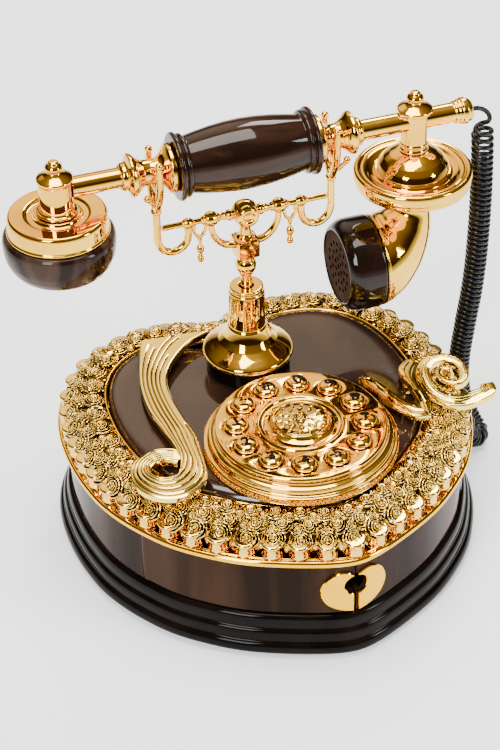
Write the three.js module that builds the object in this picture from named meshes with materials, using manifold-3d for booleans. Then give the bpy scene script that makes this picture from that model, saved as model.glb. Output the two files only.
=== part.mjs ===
// French-style cradle telephone on a heart-shaped base.
// Millimetres, +Z up, the heart's tip points along -Y. The base stands on Z = 0.
import * as THREE from 'three';
import Module from 'manifold-3d';

const wasm = await Module();
wasm.setup();

// ---------- driving dimensions ----------
// Right half of the heart, from the front tip round to the notch at the back.
const heartHalf = [
  [0, -106.5], [10, -104.9], [32, -96.2], [53.6, -84.6], [70, -71.5], [82.3, -58.7],
  [92, -44], [99.1, -30], [104, -16], [106.7, -1.4], [107.9, 12], [107.8, 27],
  [106.3, 42], [102.8, 57], [97, 71], [88, 84.5], [76, 95.5], [61, 103.5],
  [45, 107.6], [30, 108], [17, 105.5], [7, 101.2], [0, 98.8],
];
const heartSteps = 48;
const gap = 0.3;              // daylight between touching pieces

const plinthTop = 24;         // moulded foot of the base
const wallInset = 5;          // wall stands this far inside the rim
const rimZ = 58.7;            // underside of the gold rim
const deckZ = 62.5;           // top of the gold rim
const plateZ = 80;            // top of the brown plate
const drawerPivot = [84.7, -37.5];
const drawerWall = 2.4;
const dialY = -31.9;
const dialRadius = 44.2;
const keyCircle = 32.8;
const keyRadius = 6.1;
const keyTurn = 160.6;        // direction of key 1, degrees from +X
const columnY = 40.6;
const yaw = THREE.MathUtils.degToRad(-2.84);  // the cradle stands slightly turned
const crossbarZ = 177.2;
const postU = 46.5;           // cradle posts, either side of the column
const barZ = 211.8;           // axis of the handset bar
const receiverU = -96.9;      // earpiece axis along the bar
const transmitterU = 91.8;    // mouthpiece axis along the bar
const mouthZ = 131.2;         // axis of the mouthpiece

// ---------- finishes ----------
const finish = (color, metalness, roughness) =>
  new THREE.MeshStandardMaterial({ color, metalness, roughness });
const gold = finish(0xe6b455, 1.0, 0.18);
const brown = finish(0x3a211a, 0.0, 0.12);
const dark = finish(0x1b1412, 0.0, 0.2);
const black = finish(0x0d0d0e, 0.0, 0.35);
const steel = finish(0x9a9da0, 1.0, 0.35);
const board = finish(0x1f5a38, 0.0, 0.5);

// ---------- geometry helpers ----------
// Joins equal corners, drops slivers and turns the faces outwards.
function weld(geometry) {
  const pos = geometry.getAttribute('position');
  const index = geometry.index ? geometry.index.array : [...Array(pos.count).keys()];
  const seen = new Map();
  const verts = [];
  const tris = [];
  const corner = (i) => {
    const p = [pos.getX(i), pos.getY(i), pos.getZ(i)];
    const key = p.map((v) => Math.round(v * 2000)).join();
    if (!seen.has(key)) {
      seen.set(key, verts.length / 3);
      verts.push(...p);
    }
    return seen.get(key);
  };
  for (let i = 0; i < index.length; i += 3) {
    const [a, b, c] = [corner(index[i]), corner(index[i + 1]), corner(index[i + 2])];
    if (a !== b && b !== c && a !== c) tris.push(a, b, c);
  }
  const at = (i) => new THREE.Vector3(verts[3 * i], verts[3 * i + 1], verts[3 * i + 2]);
  let volume = 0;
  for (let i = 0; i < tris.length; i += 3) {
    volume += at(tris[i]).dot(at(tris[i + 1]).cross(at(tris[i + 2])));
  }
  if (volume < 0) {
    for (let i = 0; i < tris.length; i += 3) [tris[i], tris[i + 1]] = [tris[i + 1], tris[i]];
  }
  const out = new THREE.BufferGeometry();
  out.setAttribute('position', new THREE.Float32BufferAttribute(verts, 3));
  out.setIndex(tris);
  return out;
}

const toManifold = (geometry) => {
  const g = weld(geometry);
  const mesh = new wasm.Mesh({
    numProp: 3,
    vertProperties: new Float32Array(g.getAttribute('position').array),
    triVerts: new Uint32Array(g.index.array),
  });
  return new wasm.Manifold(mesh);
};
const fromManifold = (solid) => {
  const mesh = solid.getMesh();
  const g = new THREE.BufferGeometry();
  g.setAttribute('position', new THREE.BufferAttribute(new Float32Array(mesh.vertProperties), 3));
  g.setIndex([...mesh.triVerts]);
  return g;
};
const union = (...parts) =>
  fromManifold(parts.map(toManifold).reduce((a, b) => a.add(b)));
const cut = (body, ...tools) =>
  fromManifold(tools.map(toManifold).reduce((a, b) => a.subtract(b), toManifold(body)));
const common = (a, b) => fromManifold(toManifold(a).intersect(toManifold(b)));

// Heart outline moved outwards by `off`, counter-clockwise from the tip.
const heartCurve = new THREE.CatmullRomCurve3(
  [...heartHalf, ...heartHalf.slice(1, -1).reverse().map(([x, y]) => [-x, y])]
    .map(([x, y]) => new THREE.Vector3(x, y, 0)), true, 'centripetal');
heartCurve.arcLengthDivisions = 800;
const heartHalfway = heartSteps / 2;
const heartAt = Array.from({ length: heartSteps }, (_, i) => {
  const side = i <= heartHalfway ? 1 : -1;
  const s = Math.min(i, heartSteps - i) / heartSteps;
  const p = heartCurve.getPointAt(s);
  const t = heartCurve.getTangentAt(s);
  if (i % heartHalfway === 0) return { x: 0, y: p.y, nx: 0, ny: i ? 1 : -1 };
  return { x: side * p.x, y: p.y, nx: side * t.y, ny: -t.x };
});
// Near the tip a deep inward move would fold over, so those points keep a small step.
const heart = (off) => heartAt.map((h, i) => {
  const least = 0.7 * Math.min(i, heartSteps - i, 4);
  const x = Math.sign(h.x) * Math.max(Math.abs(h.x) + off * Math.abs(h.nx) * Math.sign(h.x * h.nx),
    i % heartHalfway ? least : 0);
  return [x, h.y + off * h.ny];
});

// Rings of points joined into one skin; caps close an open stack, wrap closes a loop.
function skin(rings, { wrap = false, caps = true } = {}) {
  const n = rings[0].length;
  const verts = rings.flat().flat();
  const tris = [];
  const last = wrap ? rings.length : rings.length - 1;
  for (let k = 0; k < last; k++) {
    const m = (k + 1) % rings.length;
    for (let i = 0; i < n; i++) {
      const j = (i + 1) % n;
      tris.push(k * n + i, k * n + j, m * n + j, k * n + i, m * n + j, m * n + i);
    }
  }
  if (!wrap && caps) {
    for (const [k, flip] of [[0, true], [rings.length - 1, false]]) {
      let face;
      if (caps === 'fan') {
        const c = verts.length / 3;
        const sum = rings[k].reduce((s, p) => s.map((v, a) => v + p[a] / n), [0, 0, 0]);
        verts.push(...sum);
        face = rings[k].map((_, i) => [k * n + i, k * n + ((i + 1) % n), c]);
      } else {
        const flat = rings[k].map((p) => new THREE.Vector2(p[0], p[1]));
        face = THREE.ShapeUtils.triangulateShape(flat, []).map((f) => f.map((i) => k * n + i));
      }
      for (const f of face) tris.push(...(flip ? [f[0], f[2], f[1]] : f));
    }
  }
  const g = new THREE.BufferGeometry();
  g.setAttribute('position', new THREE.Float32BufferAttribute(verts, 3));
  g.setIndex(tris);
  return weld(g);
}
const heartRings = (profile) =>
  profile.map(([off, z]) => heart(off).map(([x, y]) => [x, y, z]));
const heartRing = (profile) => skin(heartRings(profile), { wrap: true });
const heartPlate = (profile) => skin(heartRings(profile));

// Turned piece about +Z; a profile that never meets the axis is a ring and is closed.
function turned(profile, segments = 24, x = 0, y = 0) {
  const pts = profile.map(([r, z]) => new THREE.Vector2(r, z));
  if (profile[0][0] > 0) pts.push(pts[0].clone());
  const g = new THREE.LatheGeometry(pts, segments);
  g.rotateX(Math.PI / 2);
  g.translate(x, y, 0);
  return weld(g);
}
// Turned piece about the bar's own axis: profile is [distance along the bar, radius].
function turnedAlong(profile, segments = 20, z = 0) {
  const pts = profile.map(([u, r]) => new THREE.Vector2(r, u));
  if (profile[0][1] > 0) pts.push(pts[0].clone());
  const g = new THREE.LatheGeometry(pts, segments);
  g.rotateZ(-Math.PI / 2);
  g.translate(0, 0, z);
  return weld(g);
}
const outline = (pts) => new THREE.Shape(pts.map(([x, y]) => new THREE.Vector2(x, y)));
function slab(pts, z0, z1, holes = []) {
  const shape = outline(pts);
  holes.forEach((h) => shape.holes.push(new THREE.Path(outline(h).getPoints())));
  const g = new THREE.ExtrudeGeometry(shape, { depth: z1 - z0, bevelEnabled: false });
  g.translate(0, 0, z0);
  return weld(g);
}
const circle = (cx, cy, r, n = 24, ry = r) => Array.from({ length: n }, (_, i) => {
  const a = (2 * Math.PI * i) / n;
  return [cx + r * Math.cos(a), cy + ry * Math.sin(a)];
});
const smooth = (pts, n) =>
  new THREE.CatmullRomCurve3(pts.map(([x, y]) => new THREE.Vector3(x, y, 0)), false, 'centripetal')
    .getSpacedPoints(n).map((p) => [p.x, p.y]);
const box = (x0, x1, y0, y1, z0, z1) => {
  const g = new THREE.BoxGeometry(x1 - x0, y1 - y0, z1 - z0);
  g.translate((x0 + x1) / 2, (y0 + y1) / 2, (z0 + z1) / 2);
  return g;
};
const ball = (x, y, z, r) => {
  const g = new THREE.SphereGeometry(r, 8, 6);
  g.translate(x, y, z);
  return g;
};
const peg = (x, y, z0, z1, r, n = 16) => turned([[0, z0], [r, z0], [r, z1], [0, z1]], n, x, y);

// Tapered rod through 3-D points, one radius per point.
function rod(points, radii, { sides = 8, steps = 12 } = {}) {
  const path = new THREE.CatmullRomCurve3(points.map((p) => new THREE.Vector3(...p)));
  const frames = path.computeFrenetFrames(steps, false);
  const rings = [];
  for (let k = 0; k <= steps; k++) {
    const t = k / steps;
    const c = path.getPointAt(t);
    const s = path.getUtoTmapping(t) * (radii.length - 1);
    const i = Math.min(Math.floor(s), radii.length - 2);
    const r = THREE.MathUtils.lerp(radii[i], radii[i + 1], s - i);
    rings.push(Array.from({ length: sides }, (_, j) => {
      const a = (2 * Math.PI * j) / sides;
      return c.clone().addScaledVector(frames.normals[k], r * Math.cos(a))
        .addScaledVector(frames.binormals[k], r * Math.sin(a)).toArray();
    }));
  }
  return skin(rings, { caps: 'fan' });
}

const group = new THREE.Group();
group.name = 'french_cradle_phone';
function add(name, geometry, material) {
  const mesh = new THREE.Mesh(weld(geometry), material);
  mesh.geometry.computeVertexNormals();
  mesh.name = name;
  group.add(mesh);
  return mesh;
}
// Cradle and handset pieces are drawn along the bar, then stood on the column.
const addTurned = (name, geometry, material) => {
  const g = weld(geometry);
  g.rotateZ(yaw);
  g.translate(0, columnY, 0);
  return add(name, g, material);
};

// ---------- base ----------
// Moulded foot with three rounded steps and a flat deck across the top.
const plinthShell = cut(
  heartPlate([
    [1.2, 2], [2.7, 3.4], [2.4, 7.6], [0, 9.4], [0, 14.4], [-2.3, 16.6], [-2.3, 21],
    [-5, plinthTop],
  ]),
  heartPlate([[-12, 1], [-12, 21]]));
add('plinth', plinthShell, dark);
add('bottom_plate', heartPlate([[-12.3, 2], [-12.3, 4.4]]), steel);
const feet = [['front_left', -34, -72], ['front_right', 34, -72],
  ['rear_left', -66, 66], ['rear_right', 66, 66]];
for (const [name, x, y] of feet) {
  add(`foot_${name}`, turned([[0, 0], [6.6, 0], [7.5, 0.5], [7.5, 1.7], [0, 1.7]], 16, x, y), black);
}

// Space swept by each drawer front, from the seam at the tip to its knuckle.
const [pivotX, pivotY] = drawerPivot;
const wallOut = [0.872, -0.49];   // away from the wall at the knuckle
const bay = (side, seam, back) => [
  [side * seam, -140], [side * seam, back], [side * pivotX, back],
  [side * pivotX, pivotY], [side * (pivotX + 40 * wallOut[0]), pivotY + 40 * wallOut[1]],
  [side * 150, -140],
];
const knuckle = 5.1;
const housing = heartPlate([[-wallInset, plinthTop + gap], [-wallInset, rimZ - gap]]);
const housingInside = heartPlate([[-wallInset - 3.2, 0], [-wallInset - 3.2, 90]]);
const socketRings = [-1, 1].map((s) => peg(s * pivotX, pivotY, plinthTop + gap, rimZ - gap, 8.4, 20));
const partition = box(-88, 88, pivotY, pivotY + 2.4, plinthTop + gap, rimZ - gap);
add('body_wall', cut(
  common(
    union(cut(housing, housingInside), partition, ...socketRings),
    housing),
  slab(bay(1, -1, pivotY), 0, 90), slab(bay(-1, -1, pivotY), 0, 90),
  ...[-1, 1].map((s) => peg(s * pivotX, pivotY, 0, 90, 5.8, 20))), brown);

// Swing-out drawers, one each side of the seam, with a shared finger hole at the tip.
const drawerZ = [plinthTop + 0.8, rimZ - 0.8];
const fingerHole = () => {
  const g = new THREE.CylinderGeometry(6, 6, 30, 24);
  g.translate(0, -106, 43);
  return g;
};
for (const [name, side] of [['left', -1], ['right', 1]]) {
  const block = heartPlate([[-wallInset, drawerZ[0]], [-wallInset, drawerZ[1]]]);
  const plan = slab(bay(side, 0.4, pivotY - 0.5), 0, 90);
  const knob = peg(side * pivotX, pivotY, drawerZ[0], drawerZ[1], knuckle, 20);
  const hollow = common(
    heartPlate([[-wallInset - drawerWall, drawerZ[0] + 2.2], [-wallInset - drawerWall, 90]]),
    slab(bay(side, 0.4 + drawerWall, pivotY - 0.5 - drawerWall), 0, 90));
  const keep = peg(side * pivotX, pivotY, 0, 90, knuckle, 20);
  add(`drawer_${name}`, cut(
    union(common(block, plan), knob),
    cut(hollow, keep),
    peg(side * pivotX, pivotY, 0, 90, 1.9, 12),
    fingerHole()), brown);
  add(`drawer_pin_${name}`,
    peg(side * pivotX, pivotY, plinthTop + gap, rimZ - gap, 1.5, 12), steel);
  // Half of the heart plate, bent to the wall, with half of the finger hole.
  const face = [[0, 25.4], [4, 26.2], [8.3, 27.2], [13, 29.2], [16.6, 32.2], [18.7, 37],
    [19, 41.5], [17.5, 45.5], [15.5, 47.8], [12.5, 50.4], [8.8, 52], [4.8, 51.4], [0.6, 50.2]];
  const heartFace = outline(face.map(([x, z]) => [side * x, z]));
  const g = new THREE.ExtrudeGeometry(heartFace, { depth: 60, bevelEnabled: false });
  g.rotateX(Math.PI / 2);
  g.translate(0, -60, 0);
  add(`heart_pull_${name}`, cut(
    common(g, heartRing([[-4.7, 20], [-3.2, 20], [-3.2, 60], [-4.7, 60]])),
    box(-0.9, 0.9, -130, -60, 0, 90), fingerHole()), gold);
}

// Gold rim that carries the rose band, the trim and the plate.
add('gold_rim', heartRing([
  [-31, rimZ], [-0.9, rimZ], [0, rimZ + 1.9], [-0.9, deckZ], [-31, deckZ],
]), gold);
add('rose_band', heartRing([
  [-2, deckZ + gap], [-0.6, 67], [-3.4, 75], [-11, 79.8], [-20, 81.2], [-24.6, 78],
  [-24.6, deckZ + gap],
]), gold);
add('inner_trim', heartRing([
  [-24.9, deckZ + gap], [-24.9, 77.6], [-26, 78.6], [-27.4, 76.8], [-27.4, deckZ + gap],
]), gold);
const plateSolid = heartPlate([
  [-27.7, deckZ + gap], [-27.7, 72.6], [-29.4, 76.6], [-34, 79.2], [-38.5, plateZ],
]);
add('top_plate', cut(plateSolid,
  heartPlate([[-30.9, deckZ], [-30.9, 71], [-34, 76]]),
  peg(0, columnY, 60, 90, 3.7)), brown);

// Scrolled ornaments that stand over the plate on short pegs.
const ribbonZ = [83.4, 87.2];
const leftRibbon = [
  ...smooth([[-48.4, 74.1], [-57.4, 52.8], [-62.8, 34.3], [-64.9, 17.5], [-63.6, 1.5],
    [-61, -15], [-60, -29]], 12),
  ...smooth([[-53.6, -32], [-51.2, -24.8], [-49.6, -13.2], [-50.2, 4.4], [-50, 21.7], [-47.6, 35.6],
    [-42.2, 46.5], [-33.6, 56.1], [-22.7, 64.4], [-9.5, 68.4]], 14),
  [-28, 75.5],
];
add('ribbon_left', union(
  slab(leftRibbon, ...ribbonZ),
  slab(circle(-72.3, -34.9, 19.2, 28, 20.4), ...ribbonZ, [circle(-71.6, -31.6, 8.6, 20, 7)]),
  peg(-56, 34, plateZ + gap, 84, 3), peg(-56.5, -2, plateZ + gap, 84, 3)), gold);

const leaf = [
  ...smooth([[46.4, -0.5], [50.6, -3], [54, -12.4], [57.6, -22.4], [62.4, -30]], 8),
  [70, -33.4], [68.6, -41.4], [62.4, -43.6],
  ...smooth([[57.4, -41.4], [54.2, -33], [51.6, -24], [49.2, -12]], 6),
];
const strap = [
  ...smooth([[71.6, 1], [67.2, -12.4], [65.6, -22.3], [63.4, -33]], 6),
  [64, -41], [69.2, -41],
  ...smooth([[71.4, -33], [74.4, -22.7], [77, -11.9], [81, 1]], 6),
  [76.6, 5],
];
const scroll = [
  ...smooth([[75, 2.6], [84.2, 4.2], [95.4, 1.8], [102.2, -6.6], [102.4, -17.6], [98.6, -26.4],
    [103.4, -27.6]], 16),
  [107.6, -33], [104.4, -40],
  ...smooth([[96.8, -42.6], [88.6, -44.4], [79.4, -41], [74.4, -32], [72.6, -20], [72.6, -8]], 12),
];
add('ribbon_right', union(
  slab(leaf, ...ribbonZ), slab(strap, ...ribbonZ),
  slab(scroll, ...ribbonZ, [circle(90.8, -12.2, 5.6, 16, 6.6)]),
  peg(67.4, -14, plateZ + gap, 84, 2.6), peg(61.6, -31, plateZ + gap, 84, 2.6)), gold);

// ---------- push-key dial ----------
add('dial_base', turned([
  [0, plateZ + gap], [49.9, plateZ + gap], [49.9, 83.4], [47.8, 84.6], [47.4, 86.6],
  [45.4, 88], [45.4, 90], [42.6, 90], [42.6, 81.8], [0, 81.8],
], 32, 0, dialY), gold);
add('keypad_board', turned([[0, 82.1], [41.8, 82.1], [41.8, 83.6], [0, 83.6]], 24, 0, dialY), board);
const keySpots = Array.from({ length: 12 }, (_, i) => {
  const a = THREE.MathUtils.degToRad(keyTurn + 30 * i);
  return [keyCircle * Math.cos(a), dialY + keyCircle * Math.sin(a)];
});
add('dial_plate', cut(
  turned([
    [0, 90.3], [dialRadius, 90.3], [dialRadius, 91.9], [43.2, 93], [22.6, 93], [21.4, 94.2],
    [17.6, 93.3], [14.6, 96.2], [13.8, 96.2], [13.8, 94.4], [0, 94.4],
  ], 32, 0, dialY),
  ...keySpots.map(([x, y]) => peg(x, y, 88, 98, keyRadius + 0.5, 12))), gold);
add('dial_medallion', turned([
  [0, 94.7], [13.4, 94.7], [13.4, 96], [8, 97.9], [0, 98.3],
], 20, 0, dialY), gold);
const keyNames = ['1', '2', '3', '4', '5', '6', '7', '8', '9', '0', 'hash', 'star'];
keySpots.forEach(([x, y], i) => {
  add(`key_${keyNames[i]}`, turned([
    [0, 85.6], [6.9, 85.6], [6.9, 89.9], [keyRadius, 89.9], [keyRadius, 93.4], [4.8, 96],
    [0, 97.2],
  ], 12, x, y), gold);
});

// ---------- bell-shaped column ----------
add('column_foot', turned([
  [3.6, plateZ + gap], [22.2, plateZ + gap], [22.2, 88.4], [21.4, 89.4], [3.6, 89.4],
], 24, 0, columnY), brown);
add('bell_column', turned([
  [6.6, 89.7], [23.4, 89.7], [24.1, 91.4], [22.6, 94], [15.8, 98.2], [11.6, 104],
  [9.5, 108], [9.5, 129], [8.6, 130.4], [8.6, 132.3], [3.6, 132.3], [3.6, 128.4], [6.6, 128.4],
], 24, 0, columnY), gold);

// ---------- cradle ----------
addTurned('cradle_rod', turned([
  [0, 64.6], [3, 64.6], [3, 121], [5.7, 121], [5.7, 123], [3, 123], [3, 139.6], [4.9, 142.2],
  [5.4, 145], [4.9, 147.4], [3.2, 149.4], [3.2, 151.1], [0, 151.1],
], 12), gold);
const coil = Array.from({ length: 49 }, (_, i) => {
  const a = (i / 8) * 2 * Math.PI;
  return new THREE.Vector3(4.6 * Math.cos(a), 4.6 * Math.sin(a), 90.4 + (29.4 * i) / 48);
});
addTurned('cradle_spring', new THREE.ExtrudeGeometry(outline(circle(0, 0, 0.6, 5)), {
  steps: 48, bevelEnabled: false, extrudePath: new THREE.CatmullRomCurve3(coil),
}), steel);

const halfBar = [[44.1, 0], [44.1, 1.6], [33, 1.6], [30.4, 3], [27.8, 1.6], [22.8, 1.6],
  [20.8, 3.6], [18.2, 4.2], [15.6, 3.6], [12.8, 1.7], [11.4, 2.6], [10, 1.7], [8, 3],
  [6.2, 2.8], [4.6, 5.2], [1.8, 6.7]];
const crossbar = turnedAlong([
  ...halfBar.map(([u, r]) => [-u, r]), ...halfBar.slice().reverse(),
], 10, crossbarZ);
const frameParts = [crossbar,
  box(-6, 6, -6, 6, 151.4, 162.4),
  turned([[0, 162], [5.2, 162], [3.2, 165], [3.2, 172], [0, 172]], 10)];
for (const s of [-1, 1]) {
  frameParts.push(
    rod([[s * 5.4, 0, 158.6], [s * 10.6, 0, 159.8], [s * 15, 0, 163.6], [s * 17.6, 0, 169],
      [s * 18.2, 0, 175.6]], [1.9, 1.8, 1.7, 1.7, 1.7], { sides: 6, steps: 6 }),
    rod([[s * 27, 0, 176.6], [s * 27.4, 0, 171.4], [s * 24.2, 0, 167.2], [s * 21, 0, 171.4],
      [s * 21.4, 0, 176.6]], [1, 1], { sides: 5, steps: 8 }),
    turned([[0, 152.4], [1.9, 154.2], [0.8, 156.4], [2.2, 160.3], [0.8, 163], [1.3, 166.4],
      [0, 168]], 8, s * 24.2, 0));
}
addTurned('cradle_frame', union(...frameParts), gold);
for (const [name, s] of [['left', -1], ['right', 1]]) {
  const fork = [rod([[s * 30.3, 0, 174], [s * 30.4, 0, 169.6], [s * 32.2, 0, 165],
    [s * 38.4, 0, 161.8], [s * 44.2, 0, 165], [s * 46.2, 0, 169.8], [s * postU, 0, 176],
    [s * postU, 0, 189.6]], [2, 2.1], { steps: 13 })];
  for (const f of [-1, 1]) {
    fork.push(
      rod([[s * postU, 0, 187.4], [s * postU, f * 3.6, 193], [s * postU, f * 7, 199.4],
        [s * postU, f * 9, 206], [s * postU, f * 9.4, 212.4], [s * postU, f * 8.9, 219.4]],
      [1.8, 2, 2.1, 2, 1.7, 1.3], { sides: 6, steps: 6 }),
      ball(s * postU, f * 8.9, 219.6, 1.7));
  }
  fork.push(
    rod([[s * postU, -7.6, 203.3], [s * postU, 0, 203.4], [s * postU, 7.6, 203.3]],
      [1.7, 1.7], { sides: 6, steps: 2 }),
    rod([[s * postU, -3, 192.6], [s * 49.4, -5.4, 196], [s * 52.2, -6.8, 199.6]],
      [1.2, 1.1], { sides: 5, steps: 3 }),
    ball(s * 52.5, -6.9, 200.6, 2.1));
  addTurned(`cradle_hook_${name}`, union(...fork), gold);
}

// ---------- handset ----------
addTurned('handset_bar', cut(
  turnedAlong([
    [-89, 0], [-89, 5.3], [113.4, 5.3], [114.2, 6.1], [116, 6.1], [116.8, 6.9], [119.4, 6.9],
    [120.2, 6.1], [122.4, 4.8], [122.4, 0],
  ], 16, barZ),
  peg(receiverU, 0, 190, 230, 9.2, 20)), gold);
const gripHalf = [[36.6, 16.8], [35.2, 17.6], [33.2, 16.8], [32.4, 15.6], [31.2, 16.2],
  [29.8, 14.3], [20, 16.4], [10, 17.6], [0, 18]];
addTurned('handset_grip', turnedAlong([
  [-36.6, 5.7], ...gripHalf.map(([u, r]) => [-u, r]),
  ...gripHalf.slice(0, -1).reverse(), [36.6, 5.7],
], 22, barZ), brown);
const ferrule = [[37, 5.7], [37, 12.2], [38.6, 12.9], [40.2, 12.4], [43.4, 7.4], [45, 6.3],
  [49, 6.3], [54.2, 9.6], [56.4, 11.2], [57.6, 11.2], [58.8, 7.4], [61.4, 7.2], [62.2, 5.7]];
addTurned('ferrule_right', turnedAlong(ferrule, 20, barZ), gold);
addTurned('ferrule_left', turnedAlong(
  ferrule.map(([u, r]) => [-(u < 50 ? u : u + 2.2), r]), 20, barZ), gold);

const crossBore = (u, r) => {
  const g = new THREE.CylinderGeometry(r, r, 40, 20);
  g.rotateZ(Math.PI / 2);
  g.translate(u, 0, barZ);
  return g;
};
const finial = [[9, 217.2], [9.2, 219.2], [4.6, 221.8], [3.8, 223], [4.4, 225], [2.6, 227.8],
  [0, 228.6]];
addTurned('receiver_post', turned([
  [0, 199.4], [10.4, 199.4], [10.4, 200.6], [8.45, 201.4], [8.45, 216.4], ...finial,
], 20, receiverU), gold);
addTurned('receiver_housing', turned([
  [0, 188.6], [25.9, 188.6], [25.9, 190], [25.1, 190.3], [25.1, 197.8], [23.9, 199], [17.2, 199],
  [15.6, 197.6], [13.4, 197.6], [11.6, 199.1], [0, 199.1],
], 28, receiverU), gold);
addTurned('receiver_cup', turned([
  [0, 166.6], [19.6, 166.2], [23.6, 168], [26.6, 172.6], [28.2, 179], [28.4, 184.6],
  [27.8, 187], [25.4, 188.3], [22.6, 188.3], [22.6, 171], [0, 171],
], 28, receiverU), brown);
addTurned('receiver_capsule', turned([
  [0, 171.3], [20, 171.3], [21, 172.4], [21, 180], [12, 182], [0, 182],
], 20, receiverU), steel);
addTurned('transmitter_post', cut(
  turned([
    [0, 195], [7.5, 195], [6.8, 197.6], [7.4, 199], [6.9, 200.4], [6.9, 216.4],
    ...finial,
  ], 20, transmitterU),
  crossBore(transmitterU, 5.6)), gold);
const saucer = turned([
  [0, 164.6], [9, 164.6], [11.4, 168], [20, 172], [28, 174.4], [30.2, 175.6],
  [30.2, 178.2], [31.1, 178.8], [31.1, 182.4], [29.4, 184.2], [24, 183.2],
  [20, 181.4], [19.2, 184.4], [15.4, 190.2], [8.6, 194.4], [0, 194.7],
], 28, transmitterU);

// The horn turns from the saucer down and round to face back along the bar.
const hornStations = [   // [u, z, radius, turn in degrees]
  [91.8, 166, 8.6, 0], [91.8, 160.6, 9.2, 4], [91, 155.4, 11.6, 20], [89, 148.4, 14.8, 40],
  [84.6, 139.8, 19, 60], [78.4, 133.6, 22.6, 77], [72.8, mouthZ, 24, 90], [70.3, mouthZ, 24, 90],
];
const hornRings = hornStations.map(([u, z, r, turn]) => {
  const t = THREE.MathUtils.degToRad(turn);
  return Array.from({ length: 22 }, (_, j) => {
    const a = (2 * Math.PI * j) / 22;
    const across = r * Math.cos(a);
    return [u + across * Math.cos(t), r * Math.sin(a), z - across * Math.sin(t)];
  });
});
addTurned('transmitter_horn', union(saucer, skin(hornRings, { caps: 'fan' })), gold);
addTurned('mouthpiece_cap', turnedAlong([
  [54.6, 0], [54.6, 16.6], [70, 16.6], [70, 23.8], [68.8, 24.9], [60.5, 24.9], [56, 24.2],
  [51.6, 21.6], [49.6, 18.8], [51, 16.6], [51, 0],
], 24, mouthZ), brown);
addTurned('microphone', turnedAlong([
  [55, 0], [55, 14.6], [61, 14.6], [63, 11], [63, 0],
], 18, mouthZ), steel);

// ---------- works inside the base ----------
// Hook switch on its bracket, under the foot of the cradle rod.
add('hook_switch', union(
  box(-5, 5, columnY + 3, columnY + 6, plinthTop + gap, 60),
  box(-9, 9, columnY + 3, columnY + 16, plinthTop + gap, 26.4),
  box(-8, 8, columnY - 5, columnY + 6, 52, 61),
  peg(0, columnY, 60.5, 64.2, 2)), black);
add('main_board', union(
  box(-74, -14, 2, 66, 29, 30.6),
  peg(-70, 6, plinthTop + gap, 30, 2.4, 10), peg(-18, 6, plinthTop + gap, 30, 2.4, 10),
  peg(-70, 62, plinthTop + gap, 30, 2.4, 10), peg(-18, 62, plinthTop + gap, 30, 2.4, 10),
  box(-62, -46, 14, 30, 30, 33.4), box(-38, -24, 12, 24, 30, 40),
  peg(-56, 48, 30, 40, 5, 12), peg(-40, 50, 30, 38, 3.4, 12)), board);
add('ringer', turned([
  [0, plinthTop + gap], [21, plinthTop + gap], [21, 27], [17, 27.6], [16, 35], [10, 37.4], [0, 37.4],
], 18, 46, 14), steel);
// Sockets at the back of the base: line inlet and handset cord.
add('line_socket', union(
  box(-38, -24, 88, 98.4, 30, 44), box(-40.6, -21.4, 86, 88, 28, 46)), black);

// Cord socket on the right flank, where the curly cord comes home.
const socketAt = [103.6, 16, 33];
const socket = turned([[0, 0], [6, 0], [6, 1.4], [4, 2], [3.4, 6.2], [0, 6.2]], 16);
socket.rotateY(Math.PI / 2);
socket.translate(...socketAt);
add('cord_socket', socket, black);

// ---------- curly cord, drawn as its outer envelope ----------
const cordRadius = 6.2;
const cordPath = [
  [129.6, 34.2, 203], [130.4, 34, 186], [130.8, 33.8, 160], [130.4, 33.8, 130], [128.6, 34, 100],
  [125, 34.2, 72], [122.6, 33.8, 50], [122.8, 32.8, 36], [125.4, 31, 22], [129.4, 27.8, 11.4],
  [131, 23, 7], [128.4, 19.2, 6.7], [123.4, 17.6, 9.2], [119.4, 16.8, 16], [118, 16.2, 26],
].map((p) => new THREE.Vector3(...p));
const cordBody = new THREE.ExtrudeGeometry(outline(circle(0, 0, cordRadius, 10)), {
  steps: 30, bevelEnabled: false, extrudePath: new THREE.CatmullRomCurve3(cordPath),
});
// The straight ends: out of the handset bar, and into the socket on the base.
const leads = [
  [[123.25, 34.5, 211.8], [126.6, 34.5, 211.4], [131.8, 34.4, 208.8], [135, 34.3, 205.4],
    [134, 34.2, 199]],
  [[118, 16.2, 24], [117.6, 16.1, 30], [115, 16, 32.8], [socketAt[0] + 6.6, 16, 33]],
].map((points) => new THREE.ExtrudeGeometry(outline(circle(0, 0, 1.5, 8)), {
  steps: 7, bevelEnabled: false,
  extrudePath: new THREE.CatmullRomCurve3(points.map((p) => new THREE.Vector3(...p))),
}));
add('curly_cord', union(cordBody, ...leads), black);

// ---------- stand the phone over the origin, cord aside ----------
const stand = new THREE.Box3();
for (const mesh of group.children) {
  if (mesh.name === 'curly_cord') continue;
  mesh.geometry.computeBoundingBox();
  stand.union(mesh.geometry.boundingBox);
}
const centre = stand.getCenter(new THREE.Vector3());
for (const mesh of group.children) mesh.geometry.translate(-centre.x, -centre.y, -stand.min.z);

export default group;
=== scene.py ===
"""A French-style cradle telephone on a heart-shaped base: its looks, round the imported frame.

Lengths are millimetres here, and every mesh is scaled to metres when it is made.
"""
import math
import random

import bmesh
import bpy
import numpy as np
from mathutils import Matrix, Vector
from mathutils.geometry import tessellate_polygon


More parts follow.
